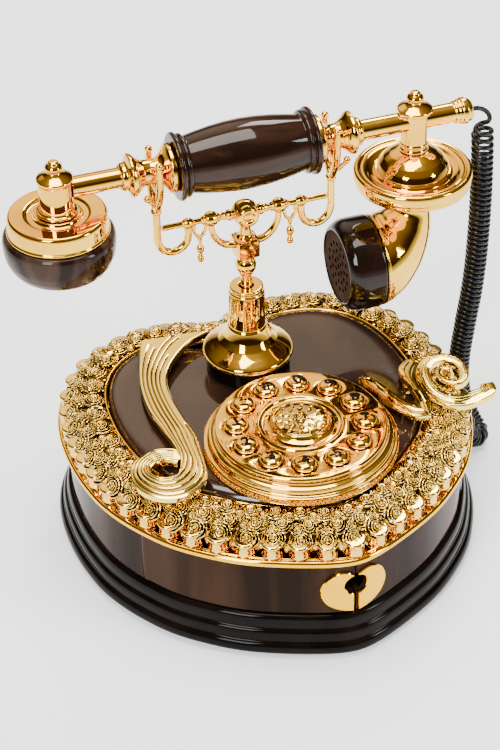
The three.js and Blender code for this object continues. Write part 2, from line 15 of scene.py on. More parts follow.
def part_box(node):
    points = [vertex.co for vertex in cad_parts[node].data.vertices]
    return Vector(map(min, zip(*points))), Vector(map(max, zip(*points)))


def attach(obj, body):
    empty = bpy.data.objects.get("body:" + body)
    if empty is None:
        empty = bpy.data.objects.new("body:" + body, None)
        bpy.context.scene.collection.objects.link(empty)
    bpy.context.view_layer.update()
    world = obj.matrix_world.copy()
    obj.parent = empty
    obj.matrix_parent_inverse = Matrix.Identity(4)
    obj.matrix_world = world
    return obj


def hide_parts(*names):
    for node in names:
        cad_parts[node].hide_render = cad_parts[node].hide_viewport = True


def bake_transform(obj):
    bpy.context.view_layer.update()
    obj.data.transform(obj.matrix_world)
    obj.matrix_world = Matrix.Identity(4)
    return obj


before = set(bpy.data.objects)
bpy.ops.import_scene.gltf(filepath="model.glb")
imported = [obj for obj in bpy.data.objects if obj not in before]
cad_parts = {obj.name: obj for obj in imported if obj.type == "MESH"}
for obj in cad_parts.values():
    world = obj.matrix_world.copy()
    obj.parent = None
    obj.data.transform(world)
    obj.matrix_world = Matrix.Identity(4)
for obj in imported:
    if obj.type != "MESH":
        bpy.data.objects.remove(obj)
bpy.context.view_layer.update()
MM = 0.001
random.seed(7)


# ---------- places taken from the frame ----------
def node_box(name):
    """Lowest and highest corner of a CAD node, in millimetres."""
    low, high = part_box(name)
    return np.array(low) / MM, np.array(high) / MM


def node_middle(name):
    """The middle of a CAD node's box, in millimetres."""
    low, high = node_box(name)
    return (low + high) / 2


DIAL = node_middle("dial_plate")[:2]
COLUMN = node_middle("bell_column")[:2]
DIAL_FROM_MIDDLE = -31.9                     # the heart's own middle is this far behind the dial
HEART_MIDDLE = np.array([DIAL[0], DIAL[1] - DIAL_FROM_MIDDLE])
YAW = math.radians(-2.84)                    # the cradle and handset stand slightly turned
SIDES = {-1: "left", 1: "right"}
GAP = 0.3
FULL_TURN = 6.28                             # for the flowers' random turns
PLINTH_TOP = 24.0
RIM_Z = 58.7
DECK_Z = 62.5
PLATE_Z = 80.0
BAR_Z = 211.8
RECEIVER_U = -96.9
TRANSMITTER_U = 91.8
MOUTH_Z = 131.2
CROSSBAR_Z = 177.2
POST_U = 46.5
KEY_CIRCLE = 32.8
KEY_TURN = 160.6
KEYS = ("1", "2", "3", "4", "5", "6", "7", "8", "9", "0", "hash", "star")
SIGNS = {"hash": "#", "star": "*"}


# ---------- camera ----------
def aim_camera():
    """The view: azimuth, height, roll and distance from a point on the column."""
    azimuth, elevation, roll = (math.radians(v) for v in (-21.02, 37.30, -1.257))
    target = Vector((HEART_MIDDLE[0] + 6.9, HEART_MIDDLE[1] + 56.25, 60)) * MM
    distance = 1.2185
    back = Vector((math.sin(azimuth) * math.cos(elevation),
                   -math.cos(azimuth) * math.cos(elevation), math.sin(elevation)))
    right = Vector((math.cos(azimuth), math.sin(azimuth), 0))
    up = back.cross(right)
    turned_right = right * math.cos(roll) + up * math.sin(roll)
    turned_up = up * math.cos(roll) - right * math.sin(roll)
    camera = bpy.data.objects.new("camera", bpy.data.cameras.new("camera"))
    bpy.context.scene.collection.objects.link(camera)
    camera.data.lens = 107.3
    camera.data.sensor_width = 36
    axes = Matrix((turned_right, turned_up, back)).transposed()
    camera.matrix_world = Matrix.Translation(target + back * distance) @ axes.to_4x4()
    camera.data.clip_end = 20
    bpy.context.scene.camera = camera


aim_camera()


# ---------- materials ----------
def feed(node, **values):
    """Sets a node's inputs by name, and gives the node back."""
    for key, value in values.items():
        node.inputs[key.replace("_", " ")].default_value = value
    return node


def ramp_node(tree, stops):
    """A colour ramp through the given places and colours."""
    ramp = tree.nodes.new("ShaderNodeValToRGB")
    elements = ramp.color_ramp.elements
    while len(elements) < len(stops):
        elements.new(0.5)
    for element, (place, colour) in zip(elements, stops):
        element.position = place
        element.color = (*colour, 1)
    return ramp


class Shader:
    """A Principled material with short calls for the nodes that feed it."""

    def __init__(self, name, **sockets):
        self.material = bpy.data.materials.new(name)
        self.material.use_nodes = True
        self.tree = self.material.node_tree
        self.surface = self.tree.nodes["Principled BSDF"]
        self.place = self.add("ShaderNodeTexCoord").outputs["Object"]
        feed(self.surface, **sockets)

    def add(self, kind, **settings):
        node = self.tree.nodes.new(kind)
        for key, value in settings.items():
            setattr(node, key, value)
        return node

    def link(self, source, target):
        self.tree.links.new(source, target)

    def noise(self, scale, detail=3.0, stretch=(1, 1, 1), distortion=0.0):
        mapping = feed(self.add("ShaderNodeMapping"), Scale=stretch)
        self.link(self.place, mapping.inputs["Vector"])
        noise = feed(self.add("ShaderNodeTexNoise"), Scale=scale, Detail=detail,
                     Distortion=distortion)
        self.link(mapping.outputs["Vector"], noise.inputs["Vector"])
        return noise.outputs["Fac"]

    def ramp(self, source, stops):
        ramp = ramp_node(self.tree, stops)
        self.link(source, ramp.inputs["Fac"])
        return ramp.outputs["Color"]

    def spread(self, source, low, high):
        remap = feed(self.add("ShaderNodeMapRange"), From_Min=0.3, From_Max=0.7, To_Min=low,
                     To_Max=high)
        self.link(source, remap.inputs["Value"])
        return remap.outputs["Result"]

    def mix(self, factor, a, b):
        mix = self.add("ShaderNodeMix", data_type="RGBA")
        for source, socket in ((factor, mix.inputs[0]), (a, mix.inputs[6]), (b, mix.inputs[7])):
            if isinstance(source, tuple):
                socket.default_value = (*source, 1)
            else:
                self.link(source, socket)
        return mix.outputs[2]

    def bump(self, source, strength):
        bump = feed(self.add("ShaderNodeBump"), Strength=strength, Distance=BUMP_DEPTH_M)
        self.link(source, bump.inputs["Height"])
        self.link(bump.outputs["Normal"], self.surface.inputs["Normal"])

    def colour(self, source):
        self.link(source, self.surface.inputs["Base Color"])

    def roughness(self, source):
        self.link(source, self.surface.inputs["Roughness"])


GOLD_PALE = (0.97, 0.585, 0.06)
GOLD_DEEP = (0.88, 0.465, 0.035)
# painted shade: the dark colour mixed into gilt reliefs where their creases and gaps would lie in
# shadow
GOLD_PAINTED_SHADE = (0.060, 0.036, 0.016)
BUMP_DEPTH_M = 0.0002


def gilt(name, painted_crease_shade=False, deep=GOLD_DEEP, pale=GOLD_PALE, shade=GOLD_PAINTED_SHADE):
    """Polished gold plate: colour drifts a little. With the crease switch on, the colour is mixed
    toward the shade colour, a painted shade, as far as each corner's stored weight says, darkening the
    creases and gaps of the reliefs.
    """
    s = Shader(name, Metallic=1.0)
    drift = s.ramp(s.noise(38, 2), [(0.35, deep), (0.62, pale)])
    if painted_crease_shade:
        # each corner's stored weight says how much painted shade it takes
        depth = s.add("ShaderNodeAttribute", attribute_name="painted_crease_shade").outputs["Fac"]
        drift = s.mix(depth, drift, shade)
    s.colour(drift)
    s.roughness(s.spread(s.noise(160, 4), 0.03, 0.08))
    s.bump(s.noise(420, 2), 0.02)
    return s.material


def lacquer(name, dark, light, stretch, scale=26, specular=0.3, roughness=(0.04, 0.10)):
    """Glossy brown moulding with faint streaks like horn or stained wood."""
    s = Shader(name, IOR=1.5, Specular_IOR_Level=specular)
    streak = s.noise(scale, 5, stretch, 1.6)
    s.colour(s.ramp(streak, [(0.38, dark), (0.56, tuple((a + b) / 2 for a, b in zip(dark, light))),
                             (0.74, light)]))
    s.roughness(s.spread(s.noise(120, 3), *roughness))
    s.bump(s.noise(300, 2), 0.04)
    return s.material


def plain(name, colour, shade, roughness, metallic=0.0, scale=200, specular=0.5):
    """A small plain part: colour and gloss vary slightly."""
    s = Shader(name, Metallic=metallic, Specular_IOR_Level=specular)
    s.colour(s.ramp(s.noise(scale, 3), [(0.35, shade), (0.65, colour)]))
    s.roughness(s.spread(s.noise(scale * 2, 3), roughness * 0.8, roughness * 1.25))
    s.bump(s.noise(scale * 4, 2), 0.06)
    return s.material


BROWN_DARK = (0.012, 0.0045, 0.003)
materials = {
    "gold": gilt("gold_plate"),
    "rim": gilt("gold_rim_plate", False, (0.95, 0.47, 0.0), (1.0, 0.53, 0.003)),
    # relief gold, darkened by painted shade in its creases and gaps
    "relief": gilt("gold_relief", True, (0.88, 0.57, 0.09), (0.97, 0.68, 0.15)),
    # ribbon gold: a paler, painted-lit copy of the gold for the ribbons' bright flat tops, with a
    # lighter painted shade in the cut lines
    "engraved": gilt("gold_engraved", True, (1.0, 0.72, 0.12), (1.0, 0.78, 0.17), (0.30, 0.19, 0.04)),
    "grip": lacquer("brown_grip", (0.009, 0.0038, 0.0024), (0.035, 0.015, 0.008), (0.35, 1.6, 1.6), 40,
                    0.26, (0.03, 0.07)),
    "face": lacquer("brown_face", (0.052, 0.033, 0.025), (0.088, 0.058, 0.045), (1, 1, 1), 36, 0.0,
                    (0.4, 0.5)),
    "cup": lacquer("brown_cup", BROWN_DARK, (0.105, 0.062, 0.040), (1.0, 1.0, 0.35), 34, 0.13),
    "wall": lacquer("brown_wall", (0.013, 0.006, 0.003), (0.066, 0.031, 0.0145), (1, 1, 0.1), 22, 0.05),
    "plate": lacquer("brown_plate", (0.018, 0.0075, 0.005), (0.050, 0.023, 0.015), (1.2, 0.5, 1), 14,
                     0.5),
    "plinth": lacquer("black_brown", (0.003, 0.002, 0.0016), (0.010, 0.0065, 0.005), (1, 1, 1), 18,
                      0.08),
    "cap": lacquer("brown_cap", (0.006, 0.003, 0.002), (0.018, 0.008, 0.0055), (1, 1, 1), 36, 0.26,
                   (0.03, 0.06)),
    "cord": plain("cord_rubber", (0.006, 0.006, 0.0065), (0.003, 0.003, 0.0035), 0.26, specular=0.3),
    "ink": plain("key_ink", (0.010, 0.007, 0.006), (0.005, 0.004, 0.003), 0.5, specular=0.04),
    "hole": plain("hole_shadow", (0.0015, 0.001, 0.001), (0.001, 0.0008, 0.0008), 0.9, specular=0.0),
    "black": plain("black_plastic", (0.02, 0.02, 0.02), (0.012, 0.012, 0.012), 0.4),
    "rubber": plain("foot_rubber", (0.025, 0.025, 0.025), (0.015, 0.015, 0.015), 0.7),
    "board": plain("circuit_board", (0.03, 0.16, 0.07), (0.02, 0.10, 0.05), 0.45, 0.0, 400),
    "steel": plain("zinc_steel", (0.62, 0.62, 0.60), (0.50, 0.50, 0.50), 0.32, 1.0),
}


# ---------- mesh building ----------
class Build:
    """Collects corners and faces, in millimetres, then becomes one object."""

    def __init__(self):
        self.points = []
        self.faces = []
        # how much painted crease shade each corner takes in the gilt materials
        self.painted_shade_weights = {}

    def loop(self, points):
        start = len(self.points)
        self.points.extend(tuple(float(v) for v in p) for p in points)
        return list(range(start, start + len(points)))

    def bridge(self, a, b):
        n = len(a)
        for i in range(n):
            j = (i + 1) % n
            self.faces.append((a[i], a[j], b[j], b[i]))

    def cap(self, *rings):
        self.faces.extend(tuple(ring) for ring in rings)

    def fan(self, ring, point):
        tip = self.loop([point])[0]
        n = len(ring)
        self.faces.extend((ring[i], ring[(i + 1) % n], tip) for i in range(n))

    def fill(self, *rings):
        """Fills the flat area inside the first ring and outside the others."""
        flat = [i for ring in rings for i in ring]
        loops = [[Vector(self.points[i]) for i in ring] for ring in rings]
        for triangle in tessellate_polygon(loops):
            self.faces.append(tuple(flat[i] for i in triangle))

    def rings(self, rings, wrap=False):
        loops = [self.loop(r) for r in rings]
        for a, b in zip(loops, loops[1:] + ([loops[0]] if wrap else [])):
            self.bridge(a, b)
        return loops

    def join(self, other, move=None):
        start = len(self.points)
        points = other.points if move is None else move(np.array(other.points))
        self.points.extend(tuple(float(v) for v in p) for p in points)
        self.faces.extend(tuple(i + start for i in f) for f in other.faces)
        for i, value in other.painted_shade_weights.items():
            self.painted_shade_weights[i + start] = value
        return self

    def moved(self, move):
        self.points = [tuple(p) for p in move(np.array(self.points))]
        return self

    def piece(self, name, material, body, replaces=(), sharp=38):
        mesh = bpy.data.meshes.new(name)
        mesh.from_pydata([tuple(v * MM for v in p) for p in self.points], [], self.faces)
        mesh.validate()
        work = bmesh.new()
        work.from_mesh(mesh)
        bmesh.ops.recalc_face_normals(work, faces=work.faces)
        work.to_mesh(mesh)
        work.free()
        mesh.shade_smooth()
        mesh.set_sharp_from_angle(angle=math.radians(sharp))
        # the painted shade weights go to a point attribute that the gilt materials read
        if self.painted_shade_weights:
            attribute = mesh.attributes.new("painted_crease_shade", "FLOAT", "POINT")
            values = np.zeros(len(mesh.vertices), np.float32)
            for i, value in self.painted_shade_weights.items():
                values[i] = value
            attribute.data.foreach_set("value", values)
        mesh.materials.append(materials[material])
        thing = bpy.data.objects.new(name, mesh)
        bpy.context.scene.collection.objects.link(thing)
        if body:
            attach(thing, body)
        if replaces:
            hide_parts(*replaces)
        return thing


def unit(rows):
    """Each row as a direction of length one."""
    return rows / np.linalg.norm(rows, axis=1)[:, None]


def length_along(line):
    """How far along the line each of its points is."""
    return np.concatenate([[0], np.cumsum(np.linalg.norm(np.diff(line, axis=0), axis=1))])


def soften(profile, radius=0.5, closed=False, steps=2):
    """Rounds the corners of a profile, with a close point on each side to hold the flats."""
    p = [np.array(v, float) for v in profile]
    n = len(p)
    out = []
    for i, here in enumerate(p):
        if not closed and i in (0, n - 1):
            out.append(here)
            continue
        before, after = p[i - 1] - here, p[(i + 1) % n] - here
        room_a, room_b = np.linalg.norm(before), np.linalg.norm(after)
        a, b = before / room_a, after / room_b
        turn = math.pi - math.acos(float(np.clip(a @ b, -1, 1)))
        reach = min(radius, 0.42 * room_a, 0.42 * room_b)
        if turn < math.radians(8):
            out.append(here)
            continue
        if turn > math.radians(30):
            out.append(here + a * reach * 1.18)
        for k in range(steps + 1):
            t = k / steps
            out.append((1 - t) ** 2 * (here + a * reach) + 2 * t * (1 - t) * here
                       + t ** 2 * (here + b * reach))
        if turn > math.radians(30):
            out.append(here + b * reach * 1.18)
    return out


def turned(profile, segments=64, radius=0.5, flute=None):
    """A turned piece about Z. flute(angle, r, z) may change the radius."""
    closed = profile[0][0] > 0
    line = soften(profile, radius, closed)
    build = Build()
    angles = np.linspace(0, 2 * math.pi, segments, endpoint=False)
    rings = []
    for r, z in line:
        if r < 1e-6:
            continue
        radii = r if flute is None else np.array([flute(a, r, z) for a in angles])
        rings.append(np.column_stack([radii * np.cos(angles), radii * np.sin(angles),
                                      np.full(segments, z)]))
    loops = build.rings(rings, wrap=closed)
    if not closed:
        build.fan(loops[0], (0, 0, line[0][1]))
        build.fan(loops[-1], (0, 0, line[-1][1]))
    return build


def stand(x, y, z=0.0):
    """A move by the given amounts, in millimetres."""
    return lambda p: p + np.array([x, y, z])


def on_column(p):
    """From the bar's own axes (along, across, up) to the phone's frame."""
    c, s = math.cos(YAW), math.sin(YAW)
    return np.column_stack([COLUMN[0] + p[:, 0] * c - p[:, 1] * s,
                            COLUMN[1] + p[:, 0] * s + p[:, 1] * c, p[:, 2]])


def upright(u=0.0):
    """A piece turned about Z, stood at a place along the bar."""
    return lambda p: on_column(p + np.array([u, 0, 0]))


def lengthwise(z):
    """A piece turned about Z, laid along the bar at a height."""
    return lambda p: on_column(np.column_stack([p[:, 2], p[:, 0], p[:, 1] + z]))


def spline(points, count, closed=False, fine=24):
    """Evenly spaced points of the smooth curve through the given ones."""
    p = np.array(points, float)
    if closed:
        p = np.vstack([p[-1], p, p[0], p[1]])
    else:
        p = np.vstack([2 * p[0] - p[1], p, 2 * p[-1] - p[-2]])
    t = np.linspace(0, 1, fine, endpoint=False)[:, None]
    runs = []
    for a, b, c, d in zip(p, p[1:], p[2:], p[3:]):
        ab, bc, cd = (max(np.linalg.norm(v) ** 0.5, 1e-4) for v in (b - a, c - b, d - c))
        m1 = ((b - a) / ab - (c - a) / (ab + bc) + (c - b) / bc) * bc
        m2 = ((c - b) / bc - (d - b) / (bc + cd) + (d - c) / cd) * bc
        runs.append((2 * t ** 3 - 3 * t ** 2 + 1) * b + (t ** 3 - 2 * t ** 2 + t) * m1
                    + (3 * t ** 2 - 2 * t ** 3) * c + (t ** 3 - t ** 2) * m2)
    line = np.vstack(runs + [p[-2:-1]])
    return even(line, count, closed)


def even(line, count, closed=False):
    """The same line with evenly spaced points."""
    along = length_along(line)
    want = np.linspace(0, along[-1], count, endpoint=not closed)
    return np.column_stack([np.interp(want, along, line[:, k]) for k in range(line.shape[1])])


def frames(line):
    """Two directions across a 3-D line at each point, turning as little as possible."""
    tangents = unit(np.gradient(line, axis=0))
    start = np.cross(tangents[0], [0.0, 0.0, 1.0])
    if np.linalg.norm(start) < 0.2:
        start = np.cross(tangents[0], [0.0, 1.0, 0.0])
    sides = []
    for tangent in tangents:
        start = start - tangent * (start @ tangent)
        start /= np.linalg.norm(start)
        sides.append((start, np.cross(tangent, start)))
    return tangents, sides


def tube(line, radii, sides=16, round_ends=True):
    """A round bar along a line, one radius for each point or one for all."""
    line = np.array(line, float)
    radii = np.full(len(line), radii) if np.isscalar(radii) else np.array(radii, float)
    tangents, across = frames(line)
    stops = list(zip(line, radii, across))
    if round_ends:
        for end, sign in ((0, -1), (-1, 1)):
            r = radii[end]
            extra = [(line[end] + tangents[end] * sign * r * math.sin(a), r * math.cos(a), across[end])
                     for a in (0.6, 1.15)]
            stops = stops + extra if sign > 0 else extra[::-1] + stops
    build = Build()
    angles = np.linspace(0, 2 * math.pi, sides, endpoint=False)
    loops = build.rings([c + r * (np.cos(angles)[:, None] * d[0] + np.sin(angles)[:, None] * d[1])
                         for c, r, d in stops])
    for end, sign in ((0, -1), (-1, 1)):
        centre, r, _ = stops[end]
        build.fan(loops[end], centre + (sign * tangents[end] * r * 0.3 if round_ends else 0))
    return build


def bar(points, radii, count=24, sides=16):
    """A rod through a few points, its radius going smoothly from one value to the next."""
    line = spline(points, count)
    if not np.isscalar(radii):
        radii = np.interp(np.linspace(0, 1, count), np.linspace(0, 1, len(radii)), radii)
    return tube(line, radii, sides)


# ---------- the heart outline ----------
HEART_HALF = [
    (0, -106.5), (10, -104.9), (32, -96.2), (53.6, -84.6), (70, -71.5), (82.3, -58.7),
    (92, -44), (99.1, -30), (104, -16), (106.7, -1.4), (107.9, 12), (107.8, 27),
    (106.3, 42), (102.8, 57), (97, 71), (88, 84.5), (76, 95.5), (61, 103.5),
    (45, 107.6), (30, 108), (17, 105.5), (7, 101.2), (0, 98.8),
]
HEART_STEPS = 256
OUTLINE = spline(HEART_HALF + [(-x, y) for x, y in HEART_HALF[-2:0:-1]], HEART_STEPS, closed=True)
AHEAD = unit(np.roll(OUTLINE, -1, axis=0) - np.roll(OUTLINE, 1, axis=0))
OUTWARD = np.column_stack([AHEAD[:, 1], -AHEAD[:, 0]])


def heart(offset):
    """The outline moved outwards, kept from folding over at the tip and the notch."""
    p = OUTLINE + offset * OUTWARD
    half = HEART_STEPS // 2
    for i in range(1, half):
        j = HEART_STEPS - i
        least = 0.12 * min(i, half - i, 12)
        p[i, 0] = max(p[i, 0], least)
        p[j, 0] = min(p[j, 0], -least)
    p[0, 0] = p[half, 0] = 0
    return p + HEART_MIDDLE


def heart_rings(profile, radius=0.5, closed=False):
    """The outline at each offset and height of a profile."""
    return [np.column_stack([heart(offset), np.full(HEART_STEPS, z)])
            for offset, z in soften(profile, radius, closed, 3)]


def heart_ring(profile, radius=0.5):
    """A closed profile carried round the outline."""
    build = Build()
    build.rings(heart_rings(profile, radius, closed=True), wrap=True)
    return build


def heart_spots(offset, spacing, phase=0.0):
    """Evenly spaced places along the outline, with the outward direction at each."""
    line = np.vstack([heart(offset), heart(offset)[:1]])
    along = length_along(line)
    count = int(round(along[-1] / spacing))
    normals = np.vstack([OUTWARD, OUTWARD[:1]])
    for k in range(count):
        s = along[-1] * ((k + phase) / count % 1.0)
        place = np.array([np.interp(s, along, line[:, i]) for i in (0, 1)])
        normal = np.array([np.interp(s, along, normals[:, i]) for i in (0, 1)])
        yield k, place, normal / np.linalg.norm(normal)


# ---------- curly cord ----------
CORD_PATH = [
    (129.6, 34.2, 203), (130.4, 34, 186), (130.8, 33.8, 160), (130.4, 33.8, 130), (128.6, 34, 100),
    (125, 34.2, 72), (122.6, 33.8, 50), (122.8, 32.8, 36), (125.4, 31, 22), (129.4, 27.8, 11.4),
    (131, 23, 7), (128.4, 19.2, 6.7), (123.4, 17.6, 9.2), (119.4, 16.8, 16), (118, 16.2, 26),
]
LEAD_OUT = [(122.75, 34.5, 211.8), (126.6, 34.4, 211.4), (131.6, 34.2, 208.9), (135, 33, 206)]
LEAD_HOME = [(117.6, 16.1, 30), (115, 16, 32.8), (110.2, 16, 33)]
CORD_WIRE = 2.6
COIL_RADIUS = 4.9
TURN_STEPS = 14
STRETCH = ((0, 5.4), (8, 4.4), (24, 3.3), (70, 3.1), (140, 2.9), (1000, 2.8))   # along, pitch


def relaxed(line, places, reach=12, rounds=60):
    """The line with its bends rounded off near the places where a lead joins the coil."""
    index = np.arange(len(line))
    share = np.clip(sum(np.clip(1 - np.abs(index - p) / reach, 0, 1) for p in places), 0, 1) / 2
    share[[0, -1]] = 0
    for _ in range(rounds):
        between = (np.roll(line, 1, axis=0) + np.roll(line, -1, axis=0)) / 2
        line = line + share[:, None] * (between - line)
    return line


def curly_cord():
    """One wire: a short lead, the coil wound round its path, and a lead to the socket."""
    shift = np.array([HEART_MIDDLE[0], HEART_MIDDLE[1], 0])
    core = spline(CORD_PATH, 1200) + shift
    along = length_along(core)
    pitch = np.interp(along, *zip(*STRETCH))
    wound = np.concatenate([[0], np.cumsum(np.diff(along) / pitch[1:])])
    turns = int(wound[-1])
    want = np.linspace(0, wound[-1], turns * TURN_STEPS + 1)
    core = np.column_stack([np.interp(want, wound, core[:, k]) for k in range(3)])
    _, across = frames(core)
    wind = want * 2 * math.pi
    left = np.arange(len(core))[::-1] / TURN_STEPS
    radii = COIL_RADIUS * (0.3 + 0.7 * np.clip(left, 0, 1))     # narrower over the last turn
    coil = np.array([c + r * (math.cos(w) * d[1] + math.sin(w) * d[0])
                     for c, d, w, r in zip(core, across, wind, radii)])
    out = spline([*(np.array(p) + shift for p in LEAD_OUT), *coil[:2]], 20)
    home = spline([coil[-1], *(np.array(p) + shift for p in LEAD_HOME)], 16)
    line = np.vstack([out, coil[2:], home[1:]])
    line = relaxed(line, (len(out) - 3, len(line) - len(home) - 1))
    build = tube(line, CORD_WIRE / 2, 8, round_ends=False)
    cord = build.piece("handset_cord", "cord", None, ["curly_cord"], 60)
    wire = float(np.sum(np.linalg.norm(np.diff(line, axis=0), axis=1)))
    [tuple(p * MM) for p in line]
    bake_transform(cord)
    return wire


WIRE_LENGTH = curly_cord()


# ---------- base ----------
def base():
    """The foot, moulded in three rounded steps."""
    heart_ring([
        (-12, 2.0), (1.0, 2.0), (2.7, 3.8), (2.7, 6.6), (1.7, 8.6), (0.1, 9.6), (0.0, 13.6),
        (-0.7, 15.4), (-2.2, 16.4), (-2.4, 20.6), (-3.2, 22.8), (-5.2, PLINTH_TOP), (-12, PLINTH_TOP),
    ], 1.1).piece("moulded_foot", "plinth", "base", ["plinth"])


PIVOT = np.array([84.7, -37.5])              # the right hinge pin, from the heart's middle
FRONT_IN = 5.0                               # how far the drawers' faces stand in from the outline
FRONT_INSIDE = 7.4
SPLIT = 0.4                                  # half the gap between the two drawers
CENTRE_WALL = 2.8
TRAY_BEVEL = 0.35


def seam_index():
    """The outline point straight out from the right hinge pin."""
    reach = OUTLINE[: HEART_STEPS // 2] - PIVOT
    out = np.array([0.872, -0.49])
    side = reach @ np.array([-out[1], out[0]])
    ahead = reach @ out > 0
    return int(np.argmin(np.where(ahead, np.abs(side), 1e9)))


def loft_run(indices, section):
    """A wall of one section along part of the outline, with flat ends."""
    build = Build()
    line = soften(section, 0.4, closed=True, steps=2)
    loops = build.rings([[(*(OUTLINE[i] + off * OUTWARD[i] + HEART_MIDDLE), z) for off, z in line]
                         for i in indices])
    build.cap(loops[0], loops[-1])
    return build


def box_build(low, high, bevel=0.4):
    """A block with rounded edges."""
    low, high = np.array(low, float), np.array(high, float)
    build = Build()

    def ring(inset, z):
        x0, y0 = low[:2] + inset
        x1, y1 = high[:2] - inset
        b = min(bevel, (x1 - x0) / 3, (y1 - y0) / 3)
        return [(x0 + b, y0, z), (x1 - b, y0, z), (x1, y0 + b, z), (x1, y1 - b, z),
                (x1 - b, y1, z), (x0 + b, y1, z), (x0, y1 - b, z), (x0, y0 + b, z)]
    loops = build.rings([ring(bevel, low[2]), ring(0, low[2] + bevel),
                         ring(0, high[2] - bevel), ring(bevel, high[2])])
    build.cap(loops[0], loops[-1])
    return build


def wall():
    """From the right drawer's seam, round the back, to the left one's, and the partition."""
    seam = seam_index()
    z0, z1 = PLINTH_TOP + GAP, RIM_Z - GAP
    build = loft_run(range(seam + 1, HEART_STEPS - seam),
                     [(-8.2, z0), (-5, z0), (-5, z1), (-8.2, z1)])
    build.join(box_build((-86, PIVOT[1] + 0.1, z0), (86, PIVOT[1] + 2.4, z1)),
               stand(*HEART_MIDDLE))
    build.piece("base_wall", "wall", "base", ["body_wall"])


def inset(polygon, distance):
    """A closed outline moved inwards by a distance, corner by corner."""
    p = np.array(polygon, float)
    ahead = unit(np.roll(p, -1, axis=0) - p)
    inward = np.column_stack([-ahead[:, 1], ahead[:, 0]])
    before = np.roll(inward, 1, axis=0)
    middle = unit(inward + before)
    stretch = np.maximum(np.sum(middle * inward, axis=1), 0.35)
    return p + middle * (distance / stretch)[:, None]


def drawer(side):
    """One swing-out tray: curved front, seam wall, straight back, floor, open on top."""
    seam = seam_index()
    z0, z1 = PLINTH_TOP + 0.8, RIM_Z - 0.8
    front = [OUTLINE[i] - FRONT_IN * OUTWARD[i] for i in range(seam)]
    front = [p for p in front if p[0] > SPLIT + 0.2]
    tip = np.array([SPLIT, np.interp(SPLIT, [0, front[0][0]],
                                     [OUTLINE[0][1] + FRONT_IN, front[0][1]])])
    knuckle = [PIVOT + 5.1 * np.array([math.cos(a), math.sin(a)])
               for a in np.linspace(math.radians(-26), math.radians(84), 9)]
    outline = [tip, *front, *knuckle, np.array([PIVOT[0] - 2, PIVOT[1] - 0.5]),
               np.array([SPLIT, PIVOT[1] - 0.5])]
    tray_front = [OUTLINE[i] - FRONT_INSIDE * OUTWARD[i] for i in range(seam - 4)]
    tray_front = [p for p in tray_front if p[0] > CENTRE_WALL]
    cavity = [np.array([CENTRE_WALL, tray_front[0][1]]), *tray_front,
              np.array([PIVOT[0] - 7.4, PIVOT[1] - 5.6]), np.array([PIVOT[0] - 8, PIVOT[1] - 2.9]),
              np.array([CENTRE_WALL, PIVOT[1] - 2.9])]
    build = Build()

    def ring(flat, z):
        return [(side * x + HEART_MIDDLE[0], y + HEART_MIDDLE[1], z) for x, y in flat]
    lip = inset(outline, TRAY_BEVEL)
    outer = build.rings([ring(lip, z0), ring(outline, z0 + TRAY_BEVEL),
                         ring(outline, z1 - TRAY_BEVEL), ring(lip, z1)])
    inner = build.rings([ring(cavity, z1), ring(cavity, z0 + 2.4)])
    build.fill(outer[0])
    build.fill(outer[-1], inner[0])
    build.fill(inner[1])
    name = SIDES[side]
    thing = build.piece(f"{name}_drawer_tray", "wall", f"{name}_drawer", [f"drawer_{name}"], 30)
    carve(thing, [pin_hole(side), finger_hole()])


def apply_modifiers(thing):
    """Makes the modifiers' result the object's own mesh."""
    graph = bpy.context.evaluated_depsgraph_get()
    mesh = bpy.data.meshes.new_from_object(thing.evaluated_get(graph))
    thing.modifiers.clear()
    thing.data = mesh


def carve(thing, tools):
    """Cuts each tool's solid out of the thing."""
    for tool in tools:
        cut = thing.modifiers.new("cut", "BOOLEAN")
        cut.operation = "DIFFERENCE"
        cut.solver = "EXACT"
        cut.object = tool
        apply_modifiers(thing)
        bpy.data.objects.remove(tool)
    thing.data.set_sharp_from_angle(angle=math.radians(38))


def cutter(build):
    """A solid that only cuts others: it is attached to no body, so that it is no piece of the phone."""
    tool = build.piece("cutter", "wall", None)
    return tool


def pin_hole(side):
    """The bore that a drawer's steel pin runs through."""
    rod = turned([(0, 20), (1.9, 20), (1.9, 70), (0, 70)], 20, 0.01)
    return cutter(rod.moved(stand(HEART_MIDDLE[0] + side * PIVOT[0], HEART_MIDDLE[1] + PIVOT[1])))


def finger_hole():
    """The round hole through the middle of the heart pull and the drawers' fronts."""
    rod = turned([(0, -18), (6.4, -18), (6.4, 18), (0, 18)], 40, 0.01)
    return cutter(rod.moved(lambda p: np.column_stack([
        p[:, 0] + HEART_MIDDLE[0], p[:, 2] + HEART_MIDDLE[1] - 106, p[:, 1] + 43])))


